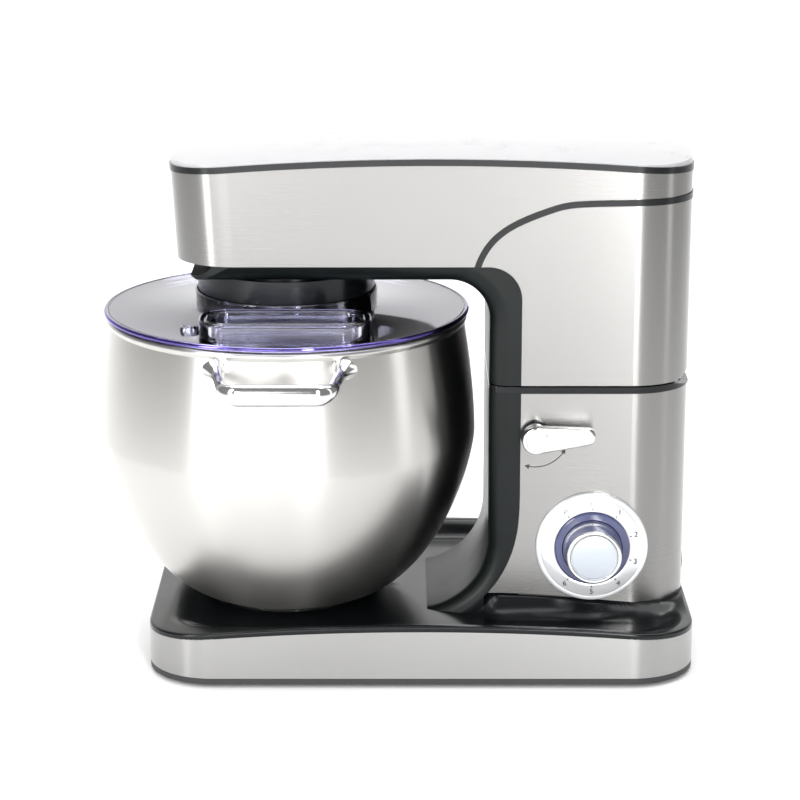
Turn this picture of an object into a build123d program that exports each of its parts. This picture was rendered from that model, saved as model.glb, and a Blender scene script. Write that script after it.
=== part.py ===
from build123d import *
import os
from math import acos, atan2, cos, degrees, pi, radians, sin, sqrt, tan

# Tilt-head stand mixer.  Millimetres, +Z up, +X from the bowl towards the column's back.
# It is drawn about the middle of the base and written about the middle of the whole machine.

# ---------------------------------------------------------------- driving dimensions
FOOT_H = 3.0              # table to the base's lower rim
BASE_L = 412.0
BASE_W = 266.0
BASE_R = 50.0             # corner radius in plan
BAND_LOW = 7.5            # lower edge of the steel band round the base
BAND_HIGH = 44.6          # upper edge of the band at its middle
BASE_ARCH_R = 2086.0      # the band's upper edge is an arch of this radius
DECK_Z = 36.5             # floor of the base's dished top
DECK_LIP = 4.0            # the black rim stands this far above the band

HEAD_W = 140.0            # width of head and column
HEAD_R = 45.0             # their corner radius in plan
HEAD_FRONT = -186.0       # front of the head at mid height
HEAD_LEAN = 0.055         # how far the front leans out, per mm of height
REAR_X = 203.0            # back of head and column
NECK_X = 51.0             # front face of the neck
NECK_EDGE_X = 74.5        # where the steel panels begin on the flanks
UNDER_Z = 295.0           # underside of the head
SKIRT_Z = 307.0           # lower edge of the head's steel panel
TOP_Z = 387.5             # upper edge of the top trim at the crest of its arch
TOP_X = 10.0              # where the crest is
TOP_ARCH_R = 2117.0
CROWN_R = 492.0           # radius of the top cover across the head
SPLIT_Z = 215.5           # top of the column, where the head lifts off
FOOT_LINE_Z = 50.0        # lower edge of the column's steel panel
C_EDGE_R = 14.0           # rounding along both edges of the black C

STEEL_T = 1.0
WALL = 2.5
COVER_WALL = 3.0
TRIM_W = 4.6
TRIM_PROUD = 0.9
SEAM = 0.15               # gap between neighbouring skins
LIFT_GAP = 1.0            # gap between the head and the column's rim

HINGE_X = 193.0
HINGE_Z = 214.0
HINGE_PIN_R = 3.5

BOWL_X = -103.0
BOWL_BELLY_R = 145.0
BOWL_BELLY_Z = 165.6
BOWL_RIM_R = 136.0
BOWL_RIM_Z = 257.5
BOWL_FLOOR_R = 60.0
BOWL_FLOOR_Z = 38.0
BOWL_T = 1.0
BEAD_R = 2.2

LID_R = 140.0
LID_Z = 260.5
LID_T = 2.0
COLLAR_H = 15.0
CHUTE_L = 126.0
CHUTE_W = 52.0
CHUTE_H = 14.0
CHUTE_R = 22.0

HUB_R = 67.5              # black housing under the head
HUB_LOW_Z = 266.0
CARRIER_LOW_Z = 268.0
ORBIT = 30.0              # tool axis from the bowl's axis

LEVER_X = 85.5
LEVER_Z = 178.8
LEVER_LEN = 44.5
LEVER_BOSS_R = 10.4
KNOB_X = 129.5
KNOB_Z = 91.0
BEZEL_R = 42.5
RING_R = 28.2
KNOB_R = 20.8
KNOB_OUT = 30.0           # knob face from the column's flank

MOTOR_X = 130.0
MOTOR_R = 35.0

RUN_FIT = 0.05            # radial clearance of a shaft in its bore

# ---------------------------------------------------------------- derived
HALF_W = HEAD_W / 2
TOP_ARCH_Z = TOP_Z - TOP_ARCH_R
BASE_ARCH_Z = BAND_HIGH - BASE_ARCH_R
REACH = 260.0             # half length of cutting slabs, beyond every part
RIM_H = 5.0               # black rim round the column's top
HEAD_LOW = SPLIT_Z + LIFT_GAP


MIDDLE_X = (BOWL_X - BOWL_BELLY_R + BASE_L / 2) / 2    # middle of the whole machine


def save(shape, name):
    """Write one node, measured from the middle of the whole machine."""
    export_step(Pos(-MIDDLE_X, 0, 0) * shape, f"parts/{name}.step")


def group(solids):
    """Several separate solids in one node."""
    return Compound(children=list(solids))


def slab(curve, half_width=REACH):
    """A closed side-view outline, drawn out to both sides."""
    return extrude(Plane.XZ * make_face(curve), amount=half_width, both=True)


def cyl(x, y, z, radius, height):
    """Upright cylinder standing on z."""
    return Pos(x, y, z) * Cylinder(radius, height, align=(Align.CENTER, Align.CENTER, Align.MIN))


def tube(x, y, z, outer, inner, height):
    """Upright tube standing on z."""
    return cyl(x, y, z, outer, height) - cyl(x, y, z, inner, height)


def cross_cyl(x, z, radius, y0, y1):
    """Cylinder along Y from y0 to y1."""
    return Pos(x, (y0 + y1) / 2, z) * Rot(90, 0, 0) * Cylinder(radius, abs(y1 - y0))


def box(x0, x1, y0, y1, z0, z1):
    """Box between two corners."""
    return Pos((x0 + x1) / 2, (y0 + y1) / 2, (z0 + z1) / 2) * Box(x1 - x0, y1 - y0, z1 - z0)


def prism(x0, x1, half_w, radius, z0, z1):
    """Upright block with rounded corners in plan."""
    plan = Pos((x0 + x1) / 2, 0, z0) * RectangleRounded(x1 - x0, 2 * half_w, radius)
    return extrude(plan, z1 - z0)


def arch(z_centre, radius, x_mid, x0, x1):
    """Arc of an arch seen from the side, from x0 to x1."""
    def top(x):
        return z_centre + sqrt(radius ** 2 - (x - x_mid) ** 2)
    middle = (x0 + x1) / 2
    return ThreePointArc((x0, top(x0)), (middle, top(middle)), (x1, top(x1)))


def below_arch(z_centre, radius, x_mid, low):
    """Everything under an arch, down to low."""
    edge = arch(z_centre, radius, x_mid, -REACH, REACH)
    return slab(edge + Polyline(edge @ 1, (REACH, low), (-REACH, low), edge @ 0))


# ---------------------------------------------------------------- outer forms
def base_form(inset, z0, z1):
    """Plan of the base, drawn up."""
    return prism(-BASE_L / 2 + inset, BASE_L / 2 - inset, BASE_W / 2 - inset, BASE_R - inset, z0, z1)


def head_plan(inset, z):
    """Plan of the head at one height; its front leans."""
    front = HEAD_FRONT - HEAD_LEAN * (z - (SKIRT_Z + TOP_Z) / 2) + inset
    back = REAR_X - inset
    sketch = RectangleRounded(back - front, 2 * (HALF_W - inset), HEAD_R - inset)
    return Pos((front + back) / 2, 0, z) * sketch


def head_form(inset, z0, z1):
    """Head and column share flanks and back; only the front leans."""
    return loft([head_plan(inset, z0), head_plan(inset, z1)], ruled=True)


def head_skin(inset, thickness, z0, z1):
    """Ring-shaped wall of the head's outline."""
    return head_form(inset, z0, z1) - head_form(inset + thickness, z0 - 1, z1 + 1)


def under_top(offset):
    """Everything under the top trim's arch, moved up by offset."""
    return below_arch(TOP_ARCH_Z, TOP_ARCH_R + offset, TOP_X, 0)


# The black C: underside of the head, front of the neck, foot of the neck.
C_IN_R = 30.0             # inner corner under the head
C_OUT_R = 25.0            # outer corner, where the steel panels meet it
SWEEP_R = 56.0            # inner corner at the foot


NOSE_RUN = 18.0           # length of the slope under the head's front


def c_upper(offset):
    """Head's underside and neck front as a block, its open side moved inwards by offset."""
    front = HEAD_FRONT - 12
    top = SKIRT_Z + 25
    back = NECK_EDGE_X + 25
    x_in = NECK_X + offset
    z_in = UNDER_Z + offset
    bend = C_IN_R + offset
    outline = Polyline((front, top), (front, z_in), (x_in - bend, z_in))
    outline += RadiusArc((x_in - bend, z_in), (x_in, z_in - bend), bend)
    low = HEAD_LOW - offset
    outline += Polyline((x_in, z_in - bend), (x_in, low), (back, low), (back, top), (front, top))
    return soften(slab(outline, HALF_W - offset), C_EDGE_R - offset, HALF_W - offset)


def c_upper_limit():
    """Where the upper half of the black C ends against the steel panels."""
    front = HEAD_FRONT - 20
    slope = HEAD_FRONT + 1
    corner = SKIRT_Z - C_OUT_R
    toe = slope + NOSE_RUN
    outline = Polyline((NECK_EDGE_X, corner), (NECK_EDGE_X, 0), (toe, 0), (toe, UNDER_Z),
                       (slope, SKIRT_Z - 1), (front, SKIRT_Z - 1), (front, SKIRT_Z),
                       (NECK_EDGE_X - C_OUT_R, SKIRT_Z))
    return slab(outline + RadiusArc((NECK_EDGE_X - C_OUT_R, SKIRT_Z), (NECK_EDGE_X, corner), C_OUT_R))


def c_lower(offset):
    """Neck front sweeping forward into the deck, as a block."""
    x_in = NECK_X + offset
    low = DECK_Z - 20.0
    start = DECK_Z + SWEEP_R
    angle = 80.0
    toe = (x_in - SWEEP_R * (1 - cos(radians(angle))), start - SWEEP_R * sin(radians(angle)))
    mid = (x_in - SWEEP_R * (1 - cos(radians(angle / 2))), start - SWEEP_R * sin(radians(angle / 2)))
    outline = Line((x_in, COLUMN_TOP + offset), (x_in, start)) + ThreePointArc((x_in, start), mid, toe)
    outline += Polyline(toe, (toe[0], low), (NECK_EDGE_X + 25, low), (NECK_EDGE_X + 25, COLUMN_TOP + offset),
                        (x_in, COLUMN_TOP + offset))
    return soften(slab(outline, HALF_W - offset), C_EDGE_R - offset, HALF_W - offset)


def c_lower_limit():
    """Where the foot of the black C ends against the column's steel panel."""
    outline = Polyline((-100, COLUMN_TOP + 10), (-100, DECK_Z + SEAM), (FOOT_X, DECK_Z + SEAM),
                       (FOOT_X, FOOT_LINE_Z))
    outline += Spline((FOOT_X, FOOT_LINE_Z), (NECK_EDGE_X - 5, FOOT_LINE_Z + 37),
                      (NECK_EDGE_X, COLUMN_TOP - 60), tangents=[(0.7, 0.7), (0.0, 1)])
    return slab(outline + Polyline((NECK_EDGE_X, COLUMN_TOP - 60), (NECK_EDGE_X, COLUMN_TOP + 10),
                                   (-100, COLUMN_TOP + 10)))


def soften(solid, radius, half_width):
    """Round the long edges where the C's open side meets its flanks."""
    chosen = []
    for face in solid.faces():
        if abs(abs(face.center().Y) - half_width) > 0.01:
            continue
        for edge in face.edges():
            middle = edge @ 0.5
            if middle.X < NECK_X + 6 and DECK_Z < middle.Z < UNDER_Z + 6:
                chosen.append(edge)
    return fillet(chosen, radius)


COLUMN_TOP = SPLIT_Z - RIM_H
FOOT_X = 48.0             # front end of the column's steel panel at its foot


# ---------------------------------------------------------------- base
def base_under(offset, low):
    """Everything under the base's arch, moved up by offset."""
    return below_arch(BASE_ARCH_Z, BASE_ARCH_R + offset, 0, low)


BASE_STEP = 1.0           # the deck's skirt stands this far inside the band
FOOT_PADS = [(sx * (BASE_L / 2 - 46), sy * (BASE_W / 2 - 40)) for sx in (-1, 1) for sy in (-1, 1)]
FOOT_PADS += [(0, sy * (BASE_W / 2 - 22)) for sy in (-1, 1)]
WELL_R = 64.0             # round well in the deck under the bowl
WELL_Z = 28.0


def base_plate():
    """Moulded tray that closes the base and shows as a thin black line under the band."""
    tray = base_form(0, FOOT_H, BAND_LOW - SEAM)
    tray += base_form(BASE_STEP + WALL + 0.3, BAND_LOW - SEAM, BAND_LOW + 7)
    tray -= base_form(BASE_STEP + 2 * WALL + 0.3, FOOT_H + WALL, BAND_LOW + 8)
    for x, y in FOOT_PADS:
        tray -= cyl(x, y, 0, FOOT_STEM_R + 0.1, BAND_LOW + 10)
    for x, y in BASE_SCREWS:
        tray -= cyl(x, y, 0, 2.2, BAND_LOW + 10)
        tray -= cyl(x, y, FOOT_H - 1, 4.2, 2.2)
    for x, y in COLUMN_BOLTS:
        tray += cyl(x, y, FOOT_H + 1, 6.5, DECK_Z - 2.05 - FOOT_H - 1)
        tray -= cyl(x, y, DECK_Z - 12, BOLT_R + 0.05, 20)
    return tray


FOOT_STEM_R = 5.0
BASE_SCREWS = [(sx * (BASE_L / 2 - 24), sy * (BASE_W / 2 - 70)) for sx in (-1, 1) for sy in (-1, 1)]


def suction_foot(x, y):
    """Rubber foot: a shallow cup under the base with a stem through the tray."""
    cup = Pos(x, y, 0) * extrude(Circle(12.5), FOOT_H - SEAM, taper=16)
    cup -= Pos(x, y, 0) * Cone(8.5, 4.0, 1.6, align=(Align.CENTER, Align.CENTER, Align.MIN))
    stem = cyl(x, y, FOOT_H - SEAM, FOOT_STEM_R, WALL + 0.4)
    head = cyl(x, y, FOOT_H + WALL + 0.1, FOOT_STEM_R + 1.6, 2)
    return cup + stem + head


def base_screw(x, y):
    """Screw from below, through the tray into the deck's boss."""
    return cyl(x, y, FOOT_H + 0.1, 3.9, 1.0) + cyl(x, y, FOOT_H + 1.0, 1.9, 12)


def base_band():
    """Steel band wrapped round the base."""
    ring = base_form(0, BAND_LOW, 60) - base_form(STEEL_T, 0, 70)
    return ring & base_under(0, 0)


def deck_dish():
    """The hollow that is dished out of the deck's top."""
    z_top = BAND_HIGH + 14
    low = dish_plan(30, 20, 26, DECK_Z)
    return loft([low, dish_plan(10, 2, 4, z_top)], ruled=True)


def dish_plan(front, back, side, z):
    """Plan of the dish at one height, by its distances from the base's edges."""
    x0 = -BASE_L / 2 + front
    x1 = BASE_L / 2 - back
    return Pos((x0 + x1) / 2, 0, z) * RectangleRounded(x1 - x0, BASE_W - 2 * side, BASE_R - side * 0.8)


def column_plan(inset, z):
    """Plan of neck and column: small front corners, large back ones."""
    x0 = NECK_X + inset
    x1 = REAR_X - inset
    rect = Pos((x0 + x1) / 2, 0) * Rectangle(x1 - x0, 2 * (HALF_W - inset))
    corners = rect.vertices().sort_by(Axis.X)
    rect = fillet(corners[:2], C_EDGE_R - inset)
    back = rect.vertices().sort_by(Axis.X)[-2:]
    return Pos(0, 0, z) * fillet(back, HEAD_R - inset)


FOOT_LINE = [(FOOT_X, FOOT_LINE_Z + 3), (112, FOOT_LINE_Z), (165, FOOT_LINE_Z - 5), (REACH, FOOT_LINE_Z - 6)]
FLARE = [(DECK_Z - 0.1, 20.0), (DECK_Z + 2.5, 10.0), (DECK_Z + 8, 3.5), (FOOT_LINE_Z + 6, 0.6)]


def above_foot_line(lift):
    """Everything over the line where the steel panel meets the base's top."""
    points = [(x, z + lift) for x, z in FOOT_LINE]
    edge = Spline(points)
    return slab(edge + Polyline(edge @ 1, (REACH, REACH * 2), (FOOT_X, REACH * 2), edge @ 0))


def flare_plan(z, grow):
    """Plan of the column's flared foot at one height."""
    x0 = FOOT_X - grow
    x1 = REAR_X + grow * 0.15
    half = HALF_W + grow
    return Pos((x0 + x1) / 2, 0, z) * RectangleRounded(x1 - x0, 2 * half, 22)


def base_deck():
    """Black top of the base: rim, dished deck, well for the bowl and the column's flared foot."""
    body = base_form(0, DECK_Z - 8, 70) & base_under(DECK_LIP, 0)
    body -= base_form(-1, 0, 80) & base_under(SEAM, -1) - base_form(STEEL_T + SEAM, -2, 90)
    body -= deck_dish()
    flare = loft([flare_plan(z, grow) for z, grow in FLARE], ruled=True)
    flare -= above_foot_line(-SEAM)
    body += flare & base_form(0, 0, 90)
    body -= base_form(BASE_STEP + WALL, 0, DECK_Z - 3)
    body += tube(BOWL_X, 0, WELL_Z - WALL, WELL_R + WALL, WELL_R, DECK_Z - WELL_Z)
    body += cyl(BOWL_X, 0, WELL_Z - WALL, WELL_R, WALL)
    body -= cyl(BOWL_X, 0, WELL_Z, WELL_R, 40)
    body -= c_lower(0) & c_lower_limit()
    body -= head_form(STEEL_T + 0.05, DECK_Z + 0.1, 90) & box(NECK_EDGE_X, REACH, -REACH, REACH, 0, 90)
    inner = prism(NECK_EDGE_X - 20, REAR_X - STEEL_T - WALL - 0.4, HALF_W - STEEL_T - WALL - 0.4, 12, 0, 100)
    for x, y in BASE_SCREWS:
        body += cyl(x, y, FOOT_H + WALL + 0.3, 5.0, DECK_Z - 3 - FOOT_H - WALL) - cyl(x, y, 0, 1.9, 20)
    return body - inner


def bowl_seat():
    """Metal bayonet ring in the deck's well: three tabs over the bowl's lugs."""
    ring = tube(BOWL_X, 0, WELL_Z + 0.05, WELL_R - 0.1, FOOT_RING_R + 5.5, 8)
    for k in range(3):
        ring += sector(BOWL_X, 0, WELL_Z + 5.6, FOOT_RING_R + 0.6, FOOT_RING_R + 6, 2.4, 120 * k + 60, 14)
    return ring


def sector(x, y, z, inner, outer, height, middle, half):
    """Part of a flat ring, around the direction middle, to half degrees each side."""
    ring = tube(x, y, z, outer, inner, height)
    far = outer / cos(radians(half)) + 1
    a0 = radians(middle - half)
    a1 = radians(middle + half)
    wedge = Polyline((x, y), (x + far * cos(a0), y + far * sin(a0)),
                     (x + far * cos(a1), y + far * sin(a1)), (x, y))
    return ring & Pos(0, 0, z - 1) * extrude(make_face(wedge), height + 2)


FOOT_RING_R = 52.0        # bowl's foot ring
LUG_OUT = 4.6


# ---------------------------------------------------------------- column
def panel_region(grow):
    """Side view of the column's steel panel."""
    left = c_lower_limit()
    low = above_foot_line(0)
    high = box(FOOT_X, REACH, -REACH, REACH, 0, COLUMN_TOP - SEAM)
    return (low & high) - Pos(grow, 0, 0) * left


def lever_hole(radius):
    """Hole through the near flank for the lever's shaft."""
    return cross_cyl(LEVER_X, LEVER_Z, radius, -HALF_W - 5, -HALF_W + 12)


def knob_hole(radius):
    """Hole through the near flank for the speed knob's shaft."""
    return cross_cyl(KNOB_X, KNOB_Z, radius, -HALF_W - 5, -HALF_W + 12)


def column_panel():
    """Steel panel wrapped round the column's flanks and back."""
    skin = head_skin(0, STEEL_T, 20, 230) & panel_region(SEAM)
    skin -= cross_x(GLAND_Z, GLAND_R + 1.2, REAR_X - 8, REAR_X + 5)
    return skin - lever_hole(BUSH_R + 0.2) - knob_hole(BEZEL_STEM_R + 0.2)


BUSH_R = 7.0
BEZEL_STEM_R = 12.0
GLAND_Z = 58.0
GLAND_R = 7.0
SHAFT_R = 4.0


def cross_x(z, radius, x0, x1, y=0.0):
    """Cylinder along X."""
    return Pos((x0 + x1) / 2, y, z) * Rot(0, 90, 0) * Cylinder(radius, x1 - x0)


def column_housing():
    """Moulded inner housing that carries the column's steel panel."""
    inset = STEEL_T + 0.1
    walls = head_skin(inset, WALL, 20, 230)
    walls &= box(NECK_EDGE_X + SEAM, REACH, -REACH, REACH, DECK_Z + 0.2, COLUMN_TOP - SEAM)
    walls -= cross_x(GLAND_Z, GLAND_R + 0.1, REAR_X - 12, REAR_X + 5)
    return walls - lever_hole(BUSH_R + 0.1) - knob_hole(BEZEL_STEM_R + 0.1)


def neck_cover():
    """Lower half of the black C: neck front and its sweep into the deck."""
    shell = c_lower(0) - c_lower(COVER_WALL)
    shell &= c_lower_limit()
    return shell & box(-REACH, REACH, -REACH, REACH, 0, COLUMN_TOP - SEAM)


def column_rim():
    """Black rim round the column's top, proud of the steel on flanks and back."""
    hollow = extrude(column_plan(4.0, COLUMN_TOP - 1), RIM_H + 2)
    flush = extrude(column_plan(0, COLUMN_TOP), RIM_H) - hollow
    proud = extrude(column_plan(-TRIM_PROUD, COLUMN_TOP), RIM_H) - hollow
    ring = flush + (proud & box(NECK_EDGE_X, REACH, -REACH, REACH, 0, REACH))
    fall = 0.35
    run = REAR_X + 10 - HINGE_X + 3
    cut = Polyline((HINGE_X - 3, SPLIT_Z), (REAR_X + 10, SPLIT_Z - fall * run), (REAR_X + 10, SPLIT_Z + 5),
                   (HINGE_X - 3, SPLIT_Z + 5), (HINGE_X - 3, SPLIT_Z))
    return ring - slab(cut)


EAR_R = 6.2
EAR_IN = 28.0
EAR_OUT = 34.0
ARM_IN = 20.0


def column_frame():
    """Cast frame in the column: floor, two posts and the hinge ears."""
    frame = box(NECK_EDGE_X + 6, 192, -58, 58, DECK_Z - 2, DECK_Z + 3)
    for side in (-1, 1):
        y0, y1 = sorted((side * EAR_IN, side * EAR_OUT))
        post = Polyline((150, DECK_Z + 3), (192, DECK_Z + 3), (HINGE_X + EAR_R, HINGE_Z),
                        (HINGE_X - EAR_R, HINGE_Z), (168, 120), (150, DECK_Z + 3))
        frame += Pos(0, (y0 + y1) / 2, 0) * slab(post, (EAR_OUT - EAR_IN) / 2)
        frame += cross_cyl(HINGE_X, HINGE_Z, EAR_R, y0, y1)
    frame += box(160, 180, -EAR_IN, EAR_IN, 100, 106)
    frame -= cross_cyl(HINGE_X, HINGE_Z, HINGE_PIN_R + RUN_FIT, -60, 60)
    for x, y in COLUMN_BOLTS:
        frame -= cyl(x, y, 0, BOLT_R + 0.1, 80)
    return frame & extrude(column_plan(4.2, 0), HINGE_Z + 20)


BOLT_R = 2.5
COLUMN_BOLTS = [(NECK_EDGE_X + 16, -48), (NECK_EDGE_X + 16, 48), (146, -48), (146, 48)]


def column_bolt(x, y):
    """Bolt that holds the cast frame to its seat."""
    return cyl(x, y, DECK_Z - 11, BOLT_R, 14.2) + cyl(x, y, DECK_Z + 3.1, BOLT_R + 2, 3)


def hinge_pin():
    """Steel pin through both ears and both arms."""
    return cross_cyl(HINGE_X, HINGE_Z, HINGE_PIN_R, -EAR_OUT - 0.5, EAR_OUT + 0.5)


def latch_shaft():
    """Lever's shaft with the latch hook on its inner end."""
    y_in = -HALF_W + 22
    y_out = -HALF_W - 6
    shaft = cross_cyl(LEVER_X, LEVER_Z, SHAFT_R, y_out, y_in)
    hub = cross_cyl(LEVER_X, LEVER_Z, 8, y_in - 7, y_in)
    top = CATCH_Z + 9
    nose = CATCH_X + CATCH_R + 2.8
    arm = Polyline((LEVER_X - 4, LEVER_Z), (LEVER_X + 5, LEVER_Z), (LEVER_X + 5, top), (LEVER_X - 1, top),
                   (nose, top - 4), (nose + 1, top - 6.5), (LEVER_X - 2, top - 6), (LEVER_X - 4, LEVER_Z))
    return shaft + hub + Pos(0, y_in - 3.5, 0) * slab(arm, 2.5)


CATCH_X = 77.0
CATCH_Z = 239.0
CATCH_R = 3.0


def lever_bush():
    """Bush for the lever's shaft, with a black collar under the lever."""
    bush = cross_cyl(LEVER_X, LEVER_Z, BUSH_R, -HALF_W - 1.2, -HALF_W + 8)
    bush += cross_cyl(LEVER_X, LEVER_Z, LEVER_BOSS_R + 0.9, -HALF_W - 2.2, -HALF_W - 0.1)
    return bush - cross_cyl(LEVER_X, LEVER_Z, SHAFT_R + RUN_FIT, -HALF_W - 10, -HALF_W + 12)


LEVER_RISE = 4.0
LEVER_Y = -HALF_W - 20.0  # outer face of the lever


def release_lever():
    """Tapered lever on a round boss; at rest it points back, a little up."""
    tip_r = 6.2
    reach = LEVER_LEN - tip_r
    lean = radians(LEVER_RISE)
    tip = (LEVER_X + reach * cos(lean), LEVER_Z + reach * sin(lean))
    spread = acos((LEVER_BOSS_R - tip_r) / reach)
    corners = []
    for sign in (1, -1):
        for (cx, cz), radius in (((LEVER_X, LEVER_Z), LEVER_BOSS_R), (tip, tip_r)):
            angle = lean + sign * spread
            corners.append((cx + radius * cos(angle), cz + radius * sin(angle)))
    arm = Polyline(corners[0], corners[1], corners[3], corners[2], corners[0])
    body = Pos(0, LEVER_Y + 6, 0) * slab(arm, 5)
    body += cross_cyl(tip[0], tip[1], tip_r, LEVER_Y + 1, LEVER_Y + 11)
    body += cross_cyl(LEVER_X, LEVER_Z, LEVER_BOSS_R, LEVER_Y, -HALF_W - 2.6)
    return body - cross_cyl(LEVER_X, LEVER_Z, SHAFT_R, -HALF_W - 6, -HALF_W + 5)


def latch_spring():
    """Torsion spring round the lever's shaft."""
    coil = Helix(pitch=1.7, height=5.1, radius=SHAFT_R + 1.9)
    wire = Plane(origin=coil @ 0, z_dir=coil % 0) * Circle(0.6)
    spring = sweep(wire, path=coil)
    return Pos(LEVER_X, -HALF_W + 14.2, LEVER_Z) * Rot(90, 0, 0) * spring


# ---------------------------------------------------------------- speed control
def round_y(profile, x, z):
    """Turn a profile of (radius, distance out from the flank) about an axis along -Y."""
    face = make_face(Polyline(*profile, profile[0]))
    solid = revolve(Plane.XZ * face, Axis.Z)
    return Pos(x, -HALF_W, z) * Rot(90, 0, 0) * solid


def dial_bezel():
    """Fixed ring with the dial's marks, and its stem through the flank."""
    profile = [(BEZEL_STEM_R - 2, -8), (BEZEL_STEM_R, -8), (BEZEL_STEM_R, 0.1), (BEZEL_R, 0.1),
               (BEZEL_R, 2.6), (BEZEL_R - 2.4, 5.4), (BEZEL_R - 4.5, 6.0), (RING_R + 0.4, 6.6),
               (RING_R + 0.4, 3.0),
               (BEZEL_STEM_R - 2, 3.0)]
    return round_y(profile, KNOB_X, KNOB_Z)


def light_ring():
    """Translucent ring between the bezel and the knob."""
    profile = [(KNOB_R + 2.2, 3.1), (RING_R, 3.1), (RING_R, 7.6), (RING_R - 1, 8.4), (KNOB_R + 2.2, 8.4)]
    return round_y(profile, KNOB_X, KNOB_Z)


def speed_knob():
    """Round knob with a slight waist and a hollow back."""
    out = KNOB_OUT
    shaft = KNOB_SHAFT_R
    profile = [(shaft, 4.4), (7, 4.4), (7, out - 4), (KNOB_R - 3, out - 4), (KNOB_R - 3, 4.4),
               (KNOB_R + 1.6, 4.4), (KNOB_R + 1.2, 10), (KNOB_R - 0.6, 16), (KNOB_R, out - 1.4),
               (KNOB_R - 1.4, out), (KNOB_R - 3.4, out), (KNOB_R - 3.4, out - 1.2), (0, out - 1.2),
               (0, out - 2.4), (shaft, out - 2.4)]
    return round_y(profile, KNOB_X, KNOB_Z)


KNOB_SHAFT_R = 2.95


def knob_face():
    """Brushed disc let into the knob's end."""
    out = KNOB_OUT
    rim = KNOB_R - 3.6
    profile = [(0, out - 1.1), (rim, out - 1.1), (rim, out - 0.4), (rim - 0.6, out - 0.1), (0, out)]
    return round_y(profile, KNOB_X, KNOB_Z)


def speed_switch():
    """Switch body behind the flank, with its bushing."""
    y_face = -HALF_W + 8.4
    body = box(KNOB_X - 17, KNOB_X + 17, y_face, y_face + 18, KNOB_Z - 17, KNOB_Z + 17)
    body += cross_cyl(KNOB_X, KNOB_Z, 8, y_face - 8, y_face)
    return body - cross_cyl(KNOB_X, KNOB_Z, KNOB_SHAFT_R + RUN_FIT, -HALF_W - 10, y_face + 14)


def knob_shaft():
    """Shaft that the knob turns in the switch."""
    return cross_cyl(KNOB_X, KNOB_Z, KNOB_SHAFT_R, -HALF_W - KNOB_OUT + 2.5, -HALF_W + 20)


def control_board():
    """Circuit board on the cast frame, with its parts."""
    board = box(84, 150, 2, 60, DECK_Z + 12, DECK_Z + 13.6)
    board += box(90, 112, 10, 32, DECK_Z + 13.6, DECK_Z + 30)
    board += cyl(128, 20, DECK_Z + 13.6, 9, 24)
    board += box(118, 140, 38, 42, DECK_Z + 13.6, DECK_Z + 38)
    for x in (88, 146):
        for y in (6, 56):
            board += cyl(x, y, DECK_Z + 3.05, 2.5, 9)
    return board


def cord_gland():
    """Rubber inlet bush in the column's back."""
    gland = cross_x(GLAND_Z, GLAND_R, REAR_X - 8, REAR_X + 1)
    gland += cross_x(GLAND_Z, GLAND_R + 1, REAR_X - 8, REAR_X - 5)
    gland += cross_x(GLAND_Z, GLAND_R + 2, REAR_X + 0.1, REAR_X + 2.6)
    return gland - cross_x(GLAND_Z, 3.5, REAR_X - 20, REAR_X + 10)


# ---------------------------------------------------------------- tilting head: skins
TRIM_ROUTE = [((41.5, 307.0), 72.0), ((65.0, 336.7), 38.0), ((90.5, 348.2), 15.0), ((160.0, 355.4), 1.0)]


def trim_line(offset):
    """The curved trim's line, moved sideways by offset, run on to the back."""
    points = []
    for (x, z), heading in TRIM_ROUTE:
        points.append((x - offset * sin(radians(heading)), z + offset * cos(radians(heading))))
    first = radians(TRIM_ROUTE[0][1])
    foot = (points[0][0] - 12 * cos(first), points[0][1] - 12 * sin(first))
    curve = Spline(points, tangents=[(cos(first), sin(first)), (1, 0.02)])
    return Line(foot, points[0]) + curve + Line(points[-1], (REACH, points[-1][1]))


def beside_trim(offset, above):
    """All that lies above, or below, the curved trim's line."""
    line = trim_line(offset)
    start = line @ 0
    end = line @ 1
    if above:
        return slab(line + Polyline(end, (REACH, 430), (-REACH, 430), (-REACH, start.Y), start))
    return slab(line + Polyline(end, (REACH, 0), (start.X, 0), start))


def head_relief(solid):
    """Cut the lower back edge to a slope, so that it clears the column as the head tilts."""
    run = REAR_X + 10 - HINGE_X
    cut = Polyline((HINGE_X, HEAD_LOW), (REAR_X + 10, HEAD_LOW + run * 0.5), (REAR_X + 10, 0), (HINGE_X, 0),
                   (HINGE_X, HEAD_LOW))
    return solid - slab(cut)


def head_side_panel():
    """Steel panel round the front and flanks, above the black C and the curved trim."""
    skin = head_skin(0, STEEL_T, 290, 400) & beside_trim(TRIM_W / 2 + SEAM, True)
    skin &= under_top(-TRIM_W - SEAM)
    return skin & box(-REACH, REACH, -REACH, REACH, SKIRT_Z + SEAM, 420)


def neck_panel():
    """Steel panel under the curved trim, round the back."""
    skin = head_skin(0, STEEL_T, 200, 400) & beside_trim(-TRIM_W / 2 - SEAM, False)
    skin &= box(0, REACH, -REACH, REACH, HEAD_LOW, 420)
    return head_relief(skin - Pos(SEAM, 0, SEAM) * c_upper_limit())


def panel_trim():
    """Black bead along the curve, round both flanks and the back."""
    ring = head_skin(-TRIM_PROUD, TRIM_PROUD + STEEL_T, 290, 400)
    ring &= beside_trim(TRIM_W / 2, False) & beside_trim(-TRIM_W / 2, True)
    return ring & box(0, REACH, -REACH, REACH, SKIRT_Z + SEAM, 420)


def top_trim():
    """Black bead round the head's arched top edge."""
    ring = head_skin(-TRIM_PROUD, TRIM_PROUD + STEEL_T, 300, 410)
    return ring & (under_top(0) - under_top(-TRIM_W))


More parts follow.
